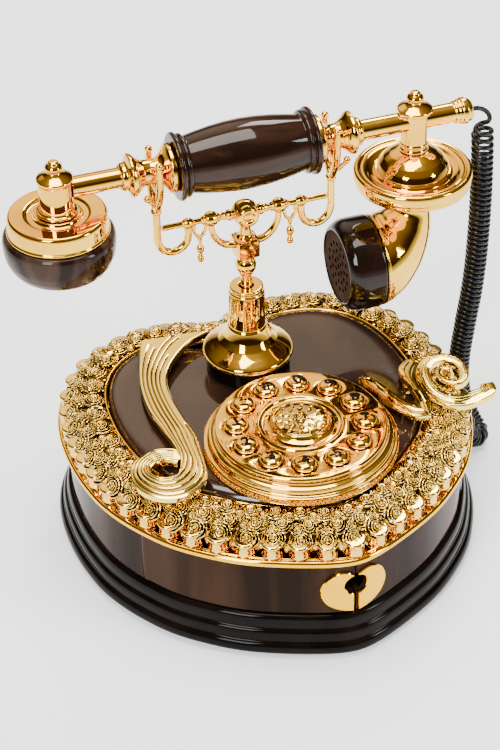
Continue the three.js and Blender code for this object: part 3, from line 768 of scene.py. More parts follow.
def heart_pull(side):
    """Half of the heart plate, bent to the drawer's front, with half of the finger hole."""
    lobe = spline([(1.25, 25.6), (4.4, 26.2), (8.6, 27.2), (13.2, 29.3), (16.8, 32.4), (18.9, 37),
                   (19.1, 41), (17.6, 45.4), (15.4, 48.2), (12.4, 50.6), (8.8, 52), (4.8, 51.5),
                   (1.25, 50)], 48)
    hole = [(max(1.25, 0.6 + 6.1 * math.cos(a)), 43 + 5.8 * math.sin(a))
            for a in np.linspace(math.pi / 2 - 0.11, -math.pi / 2 + 0.11, 28)]
    plan = np.array([*lobe, *hole])
    if np.sum(np.cross(plan, np.roll(plan, -1, axis=0))) < 0:
        plan = plan[::-1]
    curve = heart(0)[:12] - HEART_MIDDLE
    normals = OUTWARD[:12]

    def on_wall(flat, out):
        points = []
        for x, z in flat:
            base_point = np.array([x, np.interp(x, curve[:, 0], curve[:, 1])])
            normal = np.array([np.interp(x, curve[:, 0], normals[:, k]) for k in (0, 1)])
            p = base_point + normal / np.linalg.norm(normal) * out
            points.append((side * max(p[0], 1.2) + HEART_MIDDLE[0], p[1] + HEART_MIDDLE[1], z))
        return points
    build = Build()
    loops = build.rings([on_wall(plan, -4.9), on_wall(plan, -3.9), on_wall(inset(plan, 0.45), -3.35),
                         on_wall(inset(plan, 0.7), -3.3)])
    build.fill(loops[0])
    build.fill(loops[-1])
    name = SIDES[side]
    build.piece(f"{name}_heart_pull", "rim", f"{name}_drawer", [f"heart_pull_{name}"], 30)


def rim():
    """The gold band round the top of the wall, with a fine groove in it."""
    heart_ring([
        (-31, RIM_Z), (-0.9, RIM_Z), (0, RIM_Z + 0.9), (0, RIM_Z + 2.9), (-0.9, DECK_Z),
        (-2.3, DECK_Z), (-2.6, DECK_Z - 0.5), (-3.1, DECK_Z - 0.5), (-3.4, DECK_Z), (-31, DECK_Z),
    ], 0.45).piece("gold_rim_band", "rim", "base", ["gold_rim"])


base()
wall()
for drawer_side in SIDES:
    drawer(drawer_side)
    heart_pull(drawer_side)
rim()


# ---------- roses ----------
def rose(radius, segments=40, seed=0):
    """A rose in relief: rings of broad petals that overlap, with painted shade in the narrow slits
    between petals and in the grooves between rings.
    """
    chance = random.Random(seed)
    angles = np.linspace(0, 2 * math.pi, segments, endpoint=False)
    build = Build()
    rings, painted_shades = [], []

    # depth here is how much painted shade the ring's corners take
    def add(radii, heights, depth):
        rings.append(np.column_stack([radii * np.cos(angles), radii * np.sin(angles),
                                      np.broadcast_to(heights, radii.shape)]) * radius)
        painted_shades.append(np.broadcast_to(depth, radii.shape))
    ones = np.ones(segments)
    add(0.30 * ones, -0.66, 0.9)
    add(0.74 * ones, -0.52, 0.9)
    add(0.93 * ones, -0.26, 0.5)
    sizes = [1.0, 0.76, 0.54, 0.33, 0.14]
    tops = [0.02, 0.16, 0.26, 0.31]
    for k, petals in enumerate((5, 4, 4, 3)):
        arch = np.abs(np.sin(petals * (angles - chance.random() * FULL_TURN) / 2)) ** 0.5
        # painted shade in the notches between petals
        slit_shade = 0.9 * np.clip(1 - arch / 0.45, 0, 1)
        lobe = sizes[k] * (0.87 + 0.13 * arch)
        lip = tops[k] - 0.10 * (1 - arch)
        add(lobe, lip - 0.10, np.maximum(0.75, slit_shade))
        add(lobe * 0.97, lip, slit_shade)
        add(lobe * 0.90, lip + 0.015, slit_shade)
        add(sizes[k + 1] * 1.20 * ones, tops[k] - 0.09, 0.45)
        add(sizes[k + 1] * 1.10 * ones, tops[k] - 0.22, 1.0)
    add(0.12 * ones, tops[-1] - 0.02, 0.3)
    loops = build.rings(rings)
    for loop, depth in zip(loops, painted_shades):
        for i, value in zip(loop, depth):
            build.painted_shade_weights[i] = float(value)
    build.fan(loops[0], (0, 0, -0.66 * radius))
    build.fan(loops[-1], (0, 0, (tops[-1] + 0.02) * radius))
    return build


def leaf_pad(length, width):
    """A small pointed leaf with a raised midrib."""
    build = Build()
    shape = [(s * length, w * width / 2) for s, w in
             ((-0.5, 0.02), (-0.3, 0.6), (0.0, 1.0), (0.3, 0.7), (0.5, 0.02))]
    loops = build.rings([[(x, -half, 0), (x, -half * 0.5, 0.35), (x, 0, 0.75),
                          (x, half * 0.5, 0.35), (x, half, 0), (x, 0, -0.5)] for x, half in shape])
    build.cap(loops[0], loops[-1])
    # painted shade: darker at the leaf's edges and underside, lightest on the midrib
    for loop in loops:
        for i, depth in zip(loop, (0.7, 0.2, 0.0, 0.2, 0.7, 0.9)):
            build.painted_shade_weights[i] = depth
    return build


def tilted(place, normal, z, lean, spin):
    """Stands a relief at a place on the band, leaning outwards by an angle."""
    out = Vector((normal[0], normal[1], 0))
    side = Vector((0, 0, 1)).cross(out)
    turn = np.array(Matrix.Rotation(math.radians(lean), 3, side) @ Matrix.Rotation(spin, 3, "Z"))
    return lambda p: p @ turn.T + np.array([place[0], place[1], z])


ROSE_ROWS = (   # offset from the rim, spacing, phase, height, lean, radius
    (-7.0, 13.4, 0.0, 71.8, 46, 6.3),
    (-13.4, 13.4, 0.5, 76.0, 26, 5.8),
    (-19.4, 12.0, 0.1, 78.4, 4, 5.4),
    (-10.4, 13.4, 0.04, 75.6, 32, 3.7),
    (-16.8, 12.0, 0.62, 77.8, 12, 3.9),
    (-22.8, 12.0, 0.6, 77.0, -20, 3.6),
)


def petal_folds(angle, r, z):
    """Three broad upright petals round the cup of a standing rose."""
    return r if r < 2 else r * (0.9 + 0.1 * abs(math.cos(1.5 * angle)) ** 0.5)


def rose_band():
    """A bed, six rows of roses on it, a row of standing cups round its foot, and leaves."""
    bed = heart_ring([
        (-9.0, DECK_Z + GAP), (-9.4, 68.4), (-11.4, 72.8), (-15.4, 75.2), (-20, 76.4), (-23.6, 76.4),
        (-24.6, 75.4), (-24.6, DECK_Z + GAP),
    ], 0.8)
    # the whole bed takes nearly full painted shade, for the dark gaps between the roses
    bed.painted_shade_weights = {i: 0.95 for i in range(len(bed.points))}
    bed.piece("rose_bed", "relief", "base", ["rose_band"])
    kinds = [rose(1.0, seed=k) for k in range(6)]
    blooms = Build()
    for offset, spacing, phase, z, lean, radius in ROSE_ROWS:
        for k, place, normal in heart_spots(offset, spacing, phase):
            size = radius * random.uniform(0.92, 1.07)
            nudge = np.array([random.uniform(-0.5, 0.5) for _ in range(2)])
            turn = tilted(place + nudge, normal, z + random.uniform(-0.5, 0.5),
                          lean + random.uniform(-8, 8), random.uniform(0, FULL_TURN))
            blooms.join(random.choice(kinds), lambda p, size=size, turn=turn: turn(p * size))
    blooms.piece("roses", "relief", "base", sharp=75)

    cups = Build()
    goblet = turned([(0, 0), (5.6, 0), (5.9, 0.6), (5.6, 1.3), (5.5, 4.0), (5.8, 6.2), (6.2, 7.6),
                     (5.4, 8.4), (0, 8.4)], 60, 0.4, petal_folds)
    # painted shade at the folds between each cup's three petals
    goblet.painted_shade_weights = {i: 0.9 * max(0.0, 1 - abs(math.cos(1.5 * math.atan2(y, x))) / 0.2)
                      for i, (x, y, z) in enumerate(goblet.points)}
    for k, place, normal in heart_spots(-7.6, 13.4, 0.0):
        cups.join(goblet, tilted(place, normal, DECK_Z + 0.4, 5, math.atan2(normal[1], normal[0])))
    cups.piece("rose_cups", "relief", "base", sharp=60)

    leaves = Build()
    pad = leaf_pad(6.4, 3.8)
    for offset, spacing, phase, z, lean in ((-6.2, 13.4, 0.5, 68.2, 64), (-11.2, 8.9, 0.2, 74.4, 34),
                                            (-17.4, 8.6, 0.7, 77.4, 8), (-22.6, 8.0, 0.3, 77.2, -14)):
        for k, place, normal in heart_spots(offset, spacing, phase):
            spin = math.atan2(normal[1], normal[0]) + random.uniform(-1.1, 1.1)
            leaves.join(pad, tilted(place, normal, z, lean, spin))
    leaves.piece("rose_leaves", "relief", "base")


def trim():
    """The gold bead between the roses and the brown plate."""
    heart_ring([
        (-24.9, DECK_Z + GAP), (-24.9, 75.4), (-25.5, 75.9), (-25.8, 76.9), (-26.3, 77.1),
        (-26.8, 76.8), (-27.1, 76.0), (-27.4, 74.4), (-27.4, DECK_Z + GAP),
    ], 0.3).piece("plate_trim", "gold", "base", ["inner_trim"])


def plate():
    """The glossy brown top with its rounded edge."""
    build = Build()
    loops = build.rings(heart_rings([
        (-27.7, DECK_Z + GAP), (-27.7, 74.2), (-28.2, 76.4), (-29.6, 78.2), (-32.2, 79.3),
        (-36.2, 79.9), (-39, PLATE_Z),
    ], 0.8))
    build.cap(loops[0], loops[-1])
    build.piece("brown_top", "plate", "base", ["top_plate"], 30)


rose_band()
trim()
plate()


# ---------- ribbons ----------
# A known fault: with the dial between them, the two ribbons read as a word in script letters. They
# are to be replaced by a plain ornament, here and in the CAD.
def groove(t, lines, width=0.03, depth=0.55):
    """Depth of the cut lines across a ribbon at share t of its width."""
    return -sum(depth * max(0.0, 1 - abs(t - line) / width) for line in lines)


def ribbon(left, right, heights, lines, thickness=3.6, count=120, across=41, crown=0.25):
    """A flat band between two edges, with cut lines along its top."""
    a, b = spline(left, count), spline(right, count)
    z = np.interp(np.linspace(0, 1, count), np.linspace(0, 1, len(heights)), heights)
    build = Build()
    shares = np.linspace(0, 1, across)
    loops = []
    for k in range(count):
        span = b[k] - a[k]
        top = []
        for t in shares:
            edge = min(t, 1 - t)
            lift = -0.5 * max(0.0, 1 - edge / 0.04) + crown * math.sin(math.pi * t)
            place = a[k] + span * t
            top.append((*place, z[k] + lift + groove(t, lines(k / (count - 1)))))
        under = [(*(a[k] + span * t), z[k] - thickness) for t in (0.985, 0.5, 0.015)]
        loops.append(build.loop(top + under))
        # painted shade in the cut lines, deeper cuts darker
        for i, t in zip(loops[-1], shares):
            build.painted_shade_weights[i] = min(1.0, -1.9 * groove(t, lines(k / (count - 1))))
    for p, q in zip(loops, loops[1:]):
        build.bridge(p, q)
    build.cap(loops[0], loops[-1])
    return build.moved(stand(*HEART_MIDDLE))


def band_edges(path, widths, count=60):
    """The two edges of a band of changing width along a centre line."""
    line = spline(path, count)
    ahead = unit(np.gradient(line, axis=0))
    half = np.interp(np.linspace(0, 1, count), np.linspace(0, 1, len(widths)), widths)[:, None] / 2
    across = np.column_stack([ahead[:, 1], -ahead[:, 0]])
    return line + across * half, line - across * half


def arc(centre, radii, start, end, count):
    """Points round an ellipse, angles in degrees."""
    return [(centre[0] + radii[0] * math.cos(math.radians(a)),
             centre[1] + radii[1] * math.sin(math.radians(a)))
            for a in np.linspace(start, end, count)]


RIBBON_Z = 87.0


def add_pegs(build, foot, spots):
    """Short pegs that hold a ribbon above the plate."""
    peg = turned([(0, PLATE_Z + GAP), (foot, PLATE_Z + GAP), (foot - 0.6, 82), (foot - 0.6, 84.5),
                  (0, 84.5)], 24, 0.3)
    for x, y in spots:
        build.join(peg, stand(HEART_MIDDLE[0] + x, HEART_MIDDLE[1] + y))


def left_ribbon():
    """A broad fluted stroke that ends in a loop."""
    z = RIBBON_Z
    outer_ring = arc((-72.3, -34.9), (19.2, 20.2), 20, -318, 16)
    hole_ring = arc((-71.6, -31.6), (8.7, 7.2), 20, -318, 16)
    right = [(-9.5, 68.6), (-22.7, 64.4), (-33.6, 56.1), (-42.2, 46.5), (-47.6, 35.6),
             (-50, 21.7), (-50.2, 4.4), (-49.6, -13.2), (-51.2, -24)] + outer_ring[1:]
    left = [(-48.4, 74.1), (-53.4, 63), (-57.4, 52.8), (-60.6, 43), (-62.8, 34.3),
            (-64.9, 17.5), (-64, 1.5), (-62.6, -14), (-62.6, -24)] + hole_ring[1:]

    def lines(s):
        return [t for t, start, end in ((0.16, 0.03, 1), (0.30, 0.06, 1), (0.45, 0.0, 1),
                                        (0.60, 0.02, 1), (0.76, 0.12, 1), (0.9, 0.40, 1))
                if start <= s <= end]
    heights = [z] * 14 + [z - 0.2, z - 0.8, z - 1.8]
    build = ribbon(left, right, heights, lines, count=220)
    add_pegs(build, 3, ((-56, 34), (-56.5, -2)))
    build.piece("left_ribbon", "engraved", "base", ["ribbon_left"], 50)


def right_ribbon():
    """A leaf and a strap that meet in a point, and a band wound into a scroll."""
    z = RIBBON_Z

    def two_lines(_):
        return [0.33, 0.66]

    def four_lines(_):
        return [0.2, 0.4, 0.6, 0.8]
    leaf = ribbon([(45.2, -2.4), (50.6, -3.6), (54.6, -12), (58.4, -22), (64, -31), (70.2, -36)],
                  [(46.6, -7.6), (49.2, -14), (51.6, -24), (54.4, -33), (59.4, -41), (67.6, -43.4)],
                  [z + 1.2, z + 1.4, z + 0.8, z, z - 0.6, z - 1.2], two_lines, 3.2, 60, 25, 0.6)
    strap = ribbon([(76, 5), (69.4, 0.4), (66.6, -8), (66.8, -18), (66.6, -29), (65, -38),
                    (65.4, -43)],
                   [(80.6, -1.6), (79, -4.4), (74.8, -11), (72.2, -19), (71.4, -30), (70, -38),
                    (68, -42.6)],
                   [z - 1.2, z - 0.8, z - 0.2, z + 0.4, z + 0.2, z - 1.0], two_lines, 3.2, 70, 25, 0.6)
    path = [(105.4, -31.2), (104.4, -36), (97.6, -38.2), (88, -39), (80.4, -35.6), (77, -28),
            (77, -18), (80, -8), (86.6, -2.2), (94, -2.4), (98.6, -8), (99.4, -16), (96, -23),
            (90.6, -25), (86.2, -21), (85.6, -14.4), (89, -9.8), (93, -12), (93, -16)]
    widths = [7.4, 8.2, 9.6, 10.6, 9.8, 8.4, 7.6, 7.4, 7.2, 7.0, 6.4, 5.8, 5.4, 4.8, 4.0, 3.4, 2.8, 2.2,
              1.6]
    outer, inner = band_edges(path, widths)
    scroll = ribbon(outer, inner, [z - 0.4, z, z + 0.4, z + 0.4, z + 0.4, z + 0.2, z - 0.2, z - 0.8],
                    four_lines, 3.4, 260, 49, 0.3)
    scroll.join(leaf).join(strap)
    add_pegs(scroll, 2.6, ((67.4, -14), (61.6, -31)))
    scroll.piece("right_ribbon", "engraved", "base", ["ribbon_right"], 50)


left_ribbon()
right_ribbon()


# ---------- dial ----------
def circle_points(radius, z, count, centre=(0, 0)):
    """A level ring of points."""
    return [(centre[0] + radius * math.cos(a), centre[1] + radius * math.sin(a), z)
            for a in np.linspace(0, 2 * math.pi, count, endpoint=False)]


KEY_SPOTS = [KEY_CIRCLE * np.array([math.cos(a), math.sin(a)])
             for a in (math.radians(KEY_TURN + 30 * i) for i in range(len(KEYS)))]
BEADS = 124


def dial_cup():
    """The stepped gold cup, with a ring of fine beads in its waist."""
    cup = turned([
        (0, PLATE_Z + GAP), (49.4, PLATE_Z + GAP), (49.9, 80.8), (49.8, 81.2), (49.0, 81.4),
        (48.9, 83.6), (49.6, 83.9), (49.8, 84.3), (49.2, 84.8), (47.6, 84.9), (47.0, 85.6),
        (46.8, 87.0), (47.2, 87.4), (46.9, 88.2), (45.6, 88.6), (44.8, 89.2), (44.6, 90),
        (43.4, 90.1), (42.6, 89.2), (42.6, 81.8), (0, 81.8),
    ], 160, 0.4)
    bead = turned([(0, -1.1), (0.6, -0.95), (0.9, -0.4), (0.9, 0.4), (0.6, 0.95), (0, 1.1)], 10, 0.2)
    for k in range(BEADS):
        a = 2 * math.pi * k / BEADS
        cup.join(bead, stand(49.05 * math.cos(a), 49.05 * math.sin(a), 82.5))
    cup.moved(stand(*DIAL)).piece("dial_cup", "gold", "base", ["dial_base"])


def dial_face():
    """The plate: rolled edge, flat ring with twelve holes, stepped ring round the medallion."""
    build = Build()
    edge = soften([(22.6, 90.3), (43.7, 90.3), (44.2, 90.8), (44.2, 92.0), (43.4, 92.9),
                   (42.6, 93.0)], 0.35, steps=3)
    middle = soften([(22.8, 93.0), (22.2, 93.8), (21.5, 94.2), (20.8, 93.9), (20.4, 93.3), (19.6, 93.0),
                     (17.2, 93.3), (15.4, 94.3), (14.7, 95.9), (14.2, 96.2), (13.8, 95.9),
                     (13.8, 94.4)], 0.3, steps=3)
    edge_loops = build.rings([circle_points(r, z, 144) for r, z in edge[1:]])
    middle_loops = build.rings([circle_points(r, z, 96) for r, z in middle])
    build.cap(middle_loops[-1])
    tops, bottoms = [], []
    for spot in KEY_SPOTS:
        profile = [(7.25, 93.0), (7.0, 92.92), (6.7, 92.7), (6.6, 92.3), (6.6, 90.3)]
        loops = build.rings([circle_points(r, z, 36, spot) for r, z in profile])
        tops.append(loops[0])
        bottoms.append(loops[-1])
    build.fill(edge_loops[-1], middle_loops[0], *tops)
    build.fill(edge_loops[0], *bottoms)
    build.moved(stand(*DIAL)).piece("dial_face", "gold", "base", ["dial_plate"], 30)


def medallion():
    """A rose in a wreath of leaves on a low domed disc."""
    disc = turned([(0, 94.7), (13.2, 94.7), (13.4, 95.0), (13.2, 95.9), (11, 96.4), (0, 96.9)],
                  72, 0.3)
    # the whole disc is mixed a little toward the painted crease shade, behind the rose and wreath
    disc.painted_shade_weights = {i: 0.35 for i in range(len(disc.points))}
    bloom = rose(5.4, 48, 11)
    disc.join(bloom, stand(0, 0, 96.6))
    petal = leaf_pad(5.6, 3.4)
    for ring, count, radius, z in ((0, 10, 7.6, 96.5), (1, 14, 10.7, 96.1)):
        for k in range(count):
            a = 2 * math.pi * (k + ring * 0.5) / count
            c, s = math.cos(a), math.sin(a)
            disc.join(petal, lambda p, c=c, s=s, radius=radius, z=z: np.column_stack([
                (p[:, 0] * 0.85 + radius) * c - p[:, 1] * s,
                (p[:, 0] * 0.85 + radius) * s + p[:, 1] * c,
                p[:, 2] + z]))
    disc.moved(stand(*DIAL)).piece("rose_medallion", "relief", "base", ["dial_medallion"], 60)


DOME = [(6.05, 93.0), (6.0, 93.9), (5.75, 94.7), (5.2, 95.4), (4.2, 95.95), (2.4, 96.35), (0, 96.5)]
SIGN_HEIGHT = 8.6
SIGN_RAISED = 0.05
SIGN_EDGE = 0.9                              # the longest edge left in a sign, so that it can bend


def sign_mesh(name):
    """A key's sign as a flat mesh, cut fine enough to follow the dome."""
    text = bpy.data.curves.new("sign", "FONT")
    text.body = SIGNS.get(name, name)
    text.size = SIGN_HEIGHT * MM
    text.extrude = SIGN_RAISED * MM
    text.offset = 0.3 * MM
    text.align_x = "CENTER"
    text.align_y = "CENTER"
    source = bpy.data.objects.new("sign", text)
    bpy.context.scene.collection.objects.link(source)
    graph = bpy.context.evaluated_depsgraph_get()
    mesh = bpy.data.meshes.new_from_object(source.evaluated_get(graph))
    bpy.data.objects.remove(source)
    work = bmesh.new()
    work.from_mesh(mesh)
    for _ in range(3):
        bmesh.ops.triangulate(work, faces=work.faces)
        long_edges = [e for e in work.edges if e.calc_length() > SIGN_EDGE * MM]
        bmesh.ops.subdivide_edges(work, edges=long_edges, cuts=1)
    work.to_mesh(mesh)
    work.free()
    return mesh


def key(name):
    """A domed push key with its sign on top."""
    x, y = node_middle(f"key_{name}")[:2]
    turned([(0, 85.6), (6.9, 85.6), (6.9, 89.9), (6.05, 89.9), *DOME], 40, 0.3
           ).moved(stand(x, y)).piece(f"button_{name}", "gold", f"key_{name}", [f"key_{name}"])
    mesh = sign_mesh(name)
    points = np.array([v.co for v in mesh.vertices])
    middle = (points.min(0) + points.max(0)) / 2
    radii, heights = zip(*DOME[::-1])
    for v in mesh.vertices:
        flat = Vector((v.co.x - middle[0], v.co.y - middle[1]))
        height = np.interp(flat.length / MM, radii, heights)
        v.co = (x * MM + flat.x, y * MM + flat.y, v.co.z + (height + SIGN_RAISED) * MM)
    mesh.materials.clear()
    mesh.materials.append(materials["ink"])
    sign = bpy.data.objects.new(f"sign_{name}", mesh)
    bpy.context.scene.collection.objects.link(sign)
    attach(sign, f"key_{name}")


dial_cup()
dial_face()
medallion()
for key_name in KEYS:
    key(key_name)


# ---------- column ----------
FLUTES_LOW, FLUTES_HIGH = 115.6, 128.2


def flutes(angle, r, z):
    """Fourteen flutes in the column's neck, which fade out at both ends."""
    if not (FLUTES_LOW < z < FLUTES_HIGH and r > 8):
        return r
    wave = max(-1.0, min(1.0, 2.6 * math.cos(14 * angle)))
    ease = min(1.0, (z - FLUTES_LOW) / 0.9, (FLUTES_HIGH - z) / 0.9)
    return r - 0.42 * ease * (0.5 + 0.5 * wave)


def column():
    """The brown foot and the gold bell with its fluted neck."""
    turned([(3.6, PLATE_Z + GAP), (21.6, PLATE_Z + GAP), (22.2, 81), (22.2, 88.2), (21.4, 89.4),
            (3.6, 89.4)], 96, 0.6
           ).moved(stand(*COLUMN)).piece("column_base", "plinth", "base", ["column_foot"])
    neck = [(9.5, z) for z in (109, 114.6, 115.7, 116.6, 122, 127.2, 128.1)]
    turned([
        (6.6, 89.7), (23.0, 89.7), (24.1, 90.6), (24.1, 91.8), (23.5, 93.0), (22.0, 94.2),
        (19.3, 95.9), (15.6, 98.4), (12.7, 101.8), (11.0, 105.4), (10.4, 107.2), (9.6, 107.9), *neck,
        (9.5, 129), (8.8, 129.6), (8.8, 130.6), (9.0, 131.4), (8.4, 132.3), (4.2, 132.3),
        (3.6, 131.8), (3.6, 128.4), (6.6, 128.4),
    ], 168, 0.45, flutes).moved(stand(*COLUMN)).piece("bell", "gold", "base", ["bell_column"])


def both_ways(half, middle=()):
    """A turned profile's points for one half of a bar, (along, radius), and their mirror image."""
    return [*[(r, -u) for u, r in half], *middle, *[(r, u) for u, r in reversed(half)]]


def cradle():
    """Rod, block, crossbar, arms, swags and pendants of the sprung cradle."""
    turned([(0, 64.6), (3, 64.6), (3, 121), (5.7, 121), (5.7, 123), (3, 123), (3, 139.2), (3.9, 140.2),
            (3.9, 141), (4.6, 141.8), (5.4, 143.4), (5.6, 145), (5.4, 146.6), (4.6, 148.2),
            (3.4, 149.2),
            (3.4, 150.2), (4.2, 150.7), (4.0, 151.1), (0, 151.1)], 48, 0.4
           ).moved(upright()).piece("rod", "gold", "cradle", ["cradle_rod"])
    half = [(44.1, 1.6), (33.2, 1.6), (32.4, 2.4), (30.4, 3.0), (28.4, 2.4), (27.6, 1.6), (23.2, 1.6),
            (22.4, 2.6), (21.6, 2.2), (20.8, 3.4), (18.2, 4.2), (15.6, 3.4), (14.8, 2.2), (14, 2.6),
            (13.2, 1.7), (12.4, 1.7), (11.4, 2.5), (10.4, 1.7), (9.4, 3.0), (7.6, 3.1), (6.8, 2.3),
            (6.2, 3.4), (5.0, 5.2), (3.0, 6.4), (1.0, 6.8)]
    build = turned([(0, -44.1), *both_ways(half), (0, 44.1)], 40, 0.5).moved(
        lambda p: np.column_stack([p[:, 2], p[:, 0], p[:, 1] + CROSSBAR_Z]))
    boss = turned([(0, -5.6), (1.8, -5.7), (2.6, -6.6), (3.4, -7.1), (4.6, -7.1), (5.6, -6.3),
                   (6.0, -5.0), (6.0, 0), (0, 0)], 40, 0.5)
    build.join(boss, lambda p: np.column_stack([p[:, 0], p[:, 2], p[:, 1] + CROSSBAR_Z]))
    build.join(box_build((-6, -6, 151.4), (6, 6, 162.4), 0.9))
    build.join(turned([(0, 162), (4.6, 162), (5.0, 162.6), (3.4, 164.4), (2.9, 167), (3.1, 170),
                       (3.6, 172), (0, 172)], 40, 0.6))
    for s in SIDES:
        build.join(bar([(s * 5.4, 0, 158.6), (s * 10.6, 0, 159.8), (s * 15, 0, 163.6),
                        (s * 17.6, 0, 169), (s * 18.2, 0, 175.6)], (2.1, 1.9, 1.8, 1.7, 1.6)))
        build.join(bar([(s * 26.8, 0, 175.6), (s * 27.2, 0, 171.6), (s * 24.2, 0, 167.4),
                        (s * 21.2, 0, 171.6), (s * 21.6, 0, 175.6)], 0.95, 28, 12))
        build.join(turned([
            (0, 152.4), (1.3, 152.8), (1.7, 153.6), (1.9, 154.6), (1.4, 155.6), (0.8, 156.2),
            (1.4, 156.8), (0.9, 157.6), (1.5, 158.4), (2.1, 159.6), (2.2, 160.8), (1.5, 162.2),
            (0.8, 163), (0.7, 164.6), (1.3, 165.6), (1.2, 166.6), (0, 167.6)], 24, 0.3),
            stand(s * 24.2, 0))
    build.moved(on_column).piece("cradle_top", "gold", "cradle", ["cradle_frame"])


def hook(side):
    """A U-shaped hook rising to a fork, with small scrolls at its root."""
    u = side * POST_U
    build = bar([(side * 30.3, 0, 174.4), (side * 30.3, 0, 170.4), (side * 31.4, 0, 166.2),
                 (side * 34.4, 0, 163), (side * 38.4, 0, 161.8), (side * 42.4, 0, 163),
                 (side * 45.2, 0, 166.2), (u, 0, 170.8), (u, 0, 176), (u, 0, 183), (u, 0, 189.6)],
                (2.0, 2.0, 2.0, 2.0, 2.1), 60)
    build.join(turned([(0, 186.6), (2.2, 186.6), (2.9, 187.4), (2.9, 188.6), (2.1, 189.6), (0, 189.8)],
                      32, 0.4), stand(u, 0))
    for f in (-1, 1):
        build.join(bar([(u, 0, 187.6), (u, f * 3.6, 193), (u, f * 7, 199.4), (u, f * 8.9, 206),
                        (u, f * 9.4, 212.4), (u, f * 8.9, 218.6)], (1.9, 2.1, 2.1, 2.0, 1.8, 1.5), 30))
        build.join(turned([(0, -2.0), (1.2, -1.7), (1.9, -0.6), (2.0, 0.4), (1.4, 1.6), (0, 2.1)],
                          24, 0.5), stand(u, f * 8.9, 219.2))
    build.join(bar([(u, -7.4, 203.2), (u, 0, 203.4), (u, 7.4, 203.2)], 1.7, 10))
    curl = [(u + side * (0.4 + 2.6 * math.sin(a)), -2.4 - 0.25 * a,
             194.4 + 3.4 * a / 3.1 + 2.0 * math.cos(a)) for a in np.linspace(0, 4.4, 12)]
    build.join(bar(curl, (1.3, 1.3, 1.2, 0.9), 36, 12))
    build.join(bar([(u, -3, 192.6), (side * 49.4, -5.4, 196), (side * 52.2, -6.8, 199.6)],
                   (1.4, 1.2, 1.1), 14, 12))
    build.join(turned([(0, -2.1), (1.4, -1.6), (2.1, 0), (1.4, 1.6), (0, 2.1)], 24, 0.6),
               stand(side * 52.5, -6.9, 200.6))
    name = SIDES[side]
    build.moved(on_column).piece(f"{name}_hook", "gold", "cradle", [f"cradle_hook_{name}"])


column()
cradle()
for hook_side in SIDES:
    hook(hook_side)


# ---------- handset ----------
def handset_bar():
    """The gold bar, with a stepped ring where the cord leaves it."""
    build = turned([(0, -89), (5.3, -89), (5.3, 112.6), (5.9, 113.2), (5.9, 114.6), (6.4, 115.2),
                    (6.4, 116.4), (7.0, 116.9), (7.0, 119.2), (6.4, 119.8), (6.0, 121.4), (5.2, 122.4),
                    (2.2, 122.4), (2.0, 121.6), (0, 121.6)], 48, 0.35)
    build.moved(lengthwise(BAR_Z)).piece("gold_bar", "gold", "handset", ["handset_bar"])


def grip():
    """The barrel-shaped brown grip with a collar at each end."""
    half = [(36.6, 12.0), (36.6, 16.2), (36.2, 17.2), (35.2, 17.6), (34.2, 17.2), (33.7, 16.0),
            (33.2, 15.4), (32.6, 16.2), (31.6, 16.4), (30.7, 15.8), (30.2, 14.4), (24, 15.6),
            (16, 16.9), (8, 17.7)]
    turned([(5.7, -36.6), *both_ways(half, [(18, 0)]), (5.7, 36.6)], 96, 0.5).moved(
        lengthwise(BAR_Z)).piece("brown_grip", "grip", "handset", ["handset_grip"])


def ferrule(side):
    """A turned gold sleeve beside the grip; the left one is a little longer."""
    stretch = 2.2 if side < 0 else 0.0
    profile = [(5.7, 37.0), (12.0, 37.0), (12.6, 37.5), (12.8, 38.6), (12.7, 39.8), (12.1, 40.3),
               (10.7, 41.2), (9.0, 42.2), (7.6, 43.4), (6.6, 44.8), (6.3, 46.4), (6.3, 49), (6.8, 50.6),
               (8.2, 52.6), (9.9, 54.2), (11.0, 55.6), (11.3, 56.8), (11.0, 57.6), (9.4, 58.2),
               (7.8, 58.8), (7.2, 59.6), (7.3, 60.6), (6.9, 61.6), (6.2, 62.2), (5.7, 62.2)]
    points = [(r, side * (u + (stretch if u >= 50 else 0))) for r, u in profile]
    name = SIDES[side]
    turned(points, 64, 0.4).moved(lengthwise(BAR_Z)).piece(
        f"{name}_ferrule", "gold", "handset", [f"ferrule_{name}"])


FINIAL = [(8.7, 216.8), (9.0, 217.4), (9.2, 218.4), (9.0, 219.2), (7.4, 220.2), (5.4, 221.2),
          (4.4, 222), (3.7, 222.8), (4.2, 223.6), (4.6, 224.6), (4.4, 225.6), (3.6, 226.6),
          (2.8, 227.2),
          (2.6, 227.9), (1.6, 228.5), (0, 228.6)]


def receiver():
    """The earpiece: post with finial, gold housing and brown cup."""
    turned([(0, 199.4), (9.6, 199.4), (10.4, 199.8), (10.2, 200.6), (8.9, 201.2), (8.45, 202),
            (8.45, 216.4), *FINIAL], 64, 0.4).moved(upright(RECEIVER_U)).piece(
        "ear_post", "gold", "handset", ["receiver_post"])
    turned([(0, 188.6), (25.4, 188.6), (25.9, 189.0), (25.9, 189.8), (25.2, 190.3), (25.1, 197.0),
            (24.7, 198.2), (23.8, 199), (17.0, 199), (16.2, 198.6), (15.8, 197.9), (15.2, 197.6),
            (12.6, 197.6), (12.0, 198.2), (11.6, 199.1), (0, 199.1)], 96, 0.35
           ).moved(upright(RECEIVER_U)).piece("ear_housing", "gold", "handset", ["receiver_housing"])
    turned([(0, 167.4), (8, 167.2), (16, 166.4), (19.6, 166.4), (22, 167.2), (24.4, 169.4),
            (26.4, 172.6), (27.8, 176.6), (28.4, 181), (28.4, 184.4), (28.0, 186.6),
            (26.8, 188.1), (25.2, 188.3),
            (23.6, 187.2), (22.6, 185.6), (22.6, 171), (0, 171)], 96, 0.5
           ).moved(upright(RECEIVER_U)).piece("ear_cup", "cup", "handset", ["receiver_cup"])


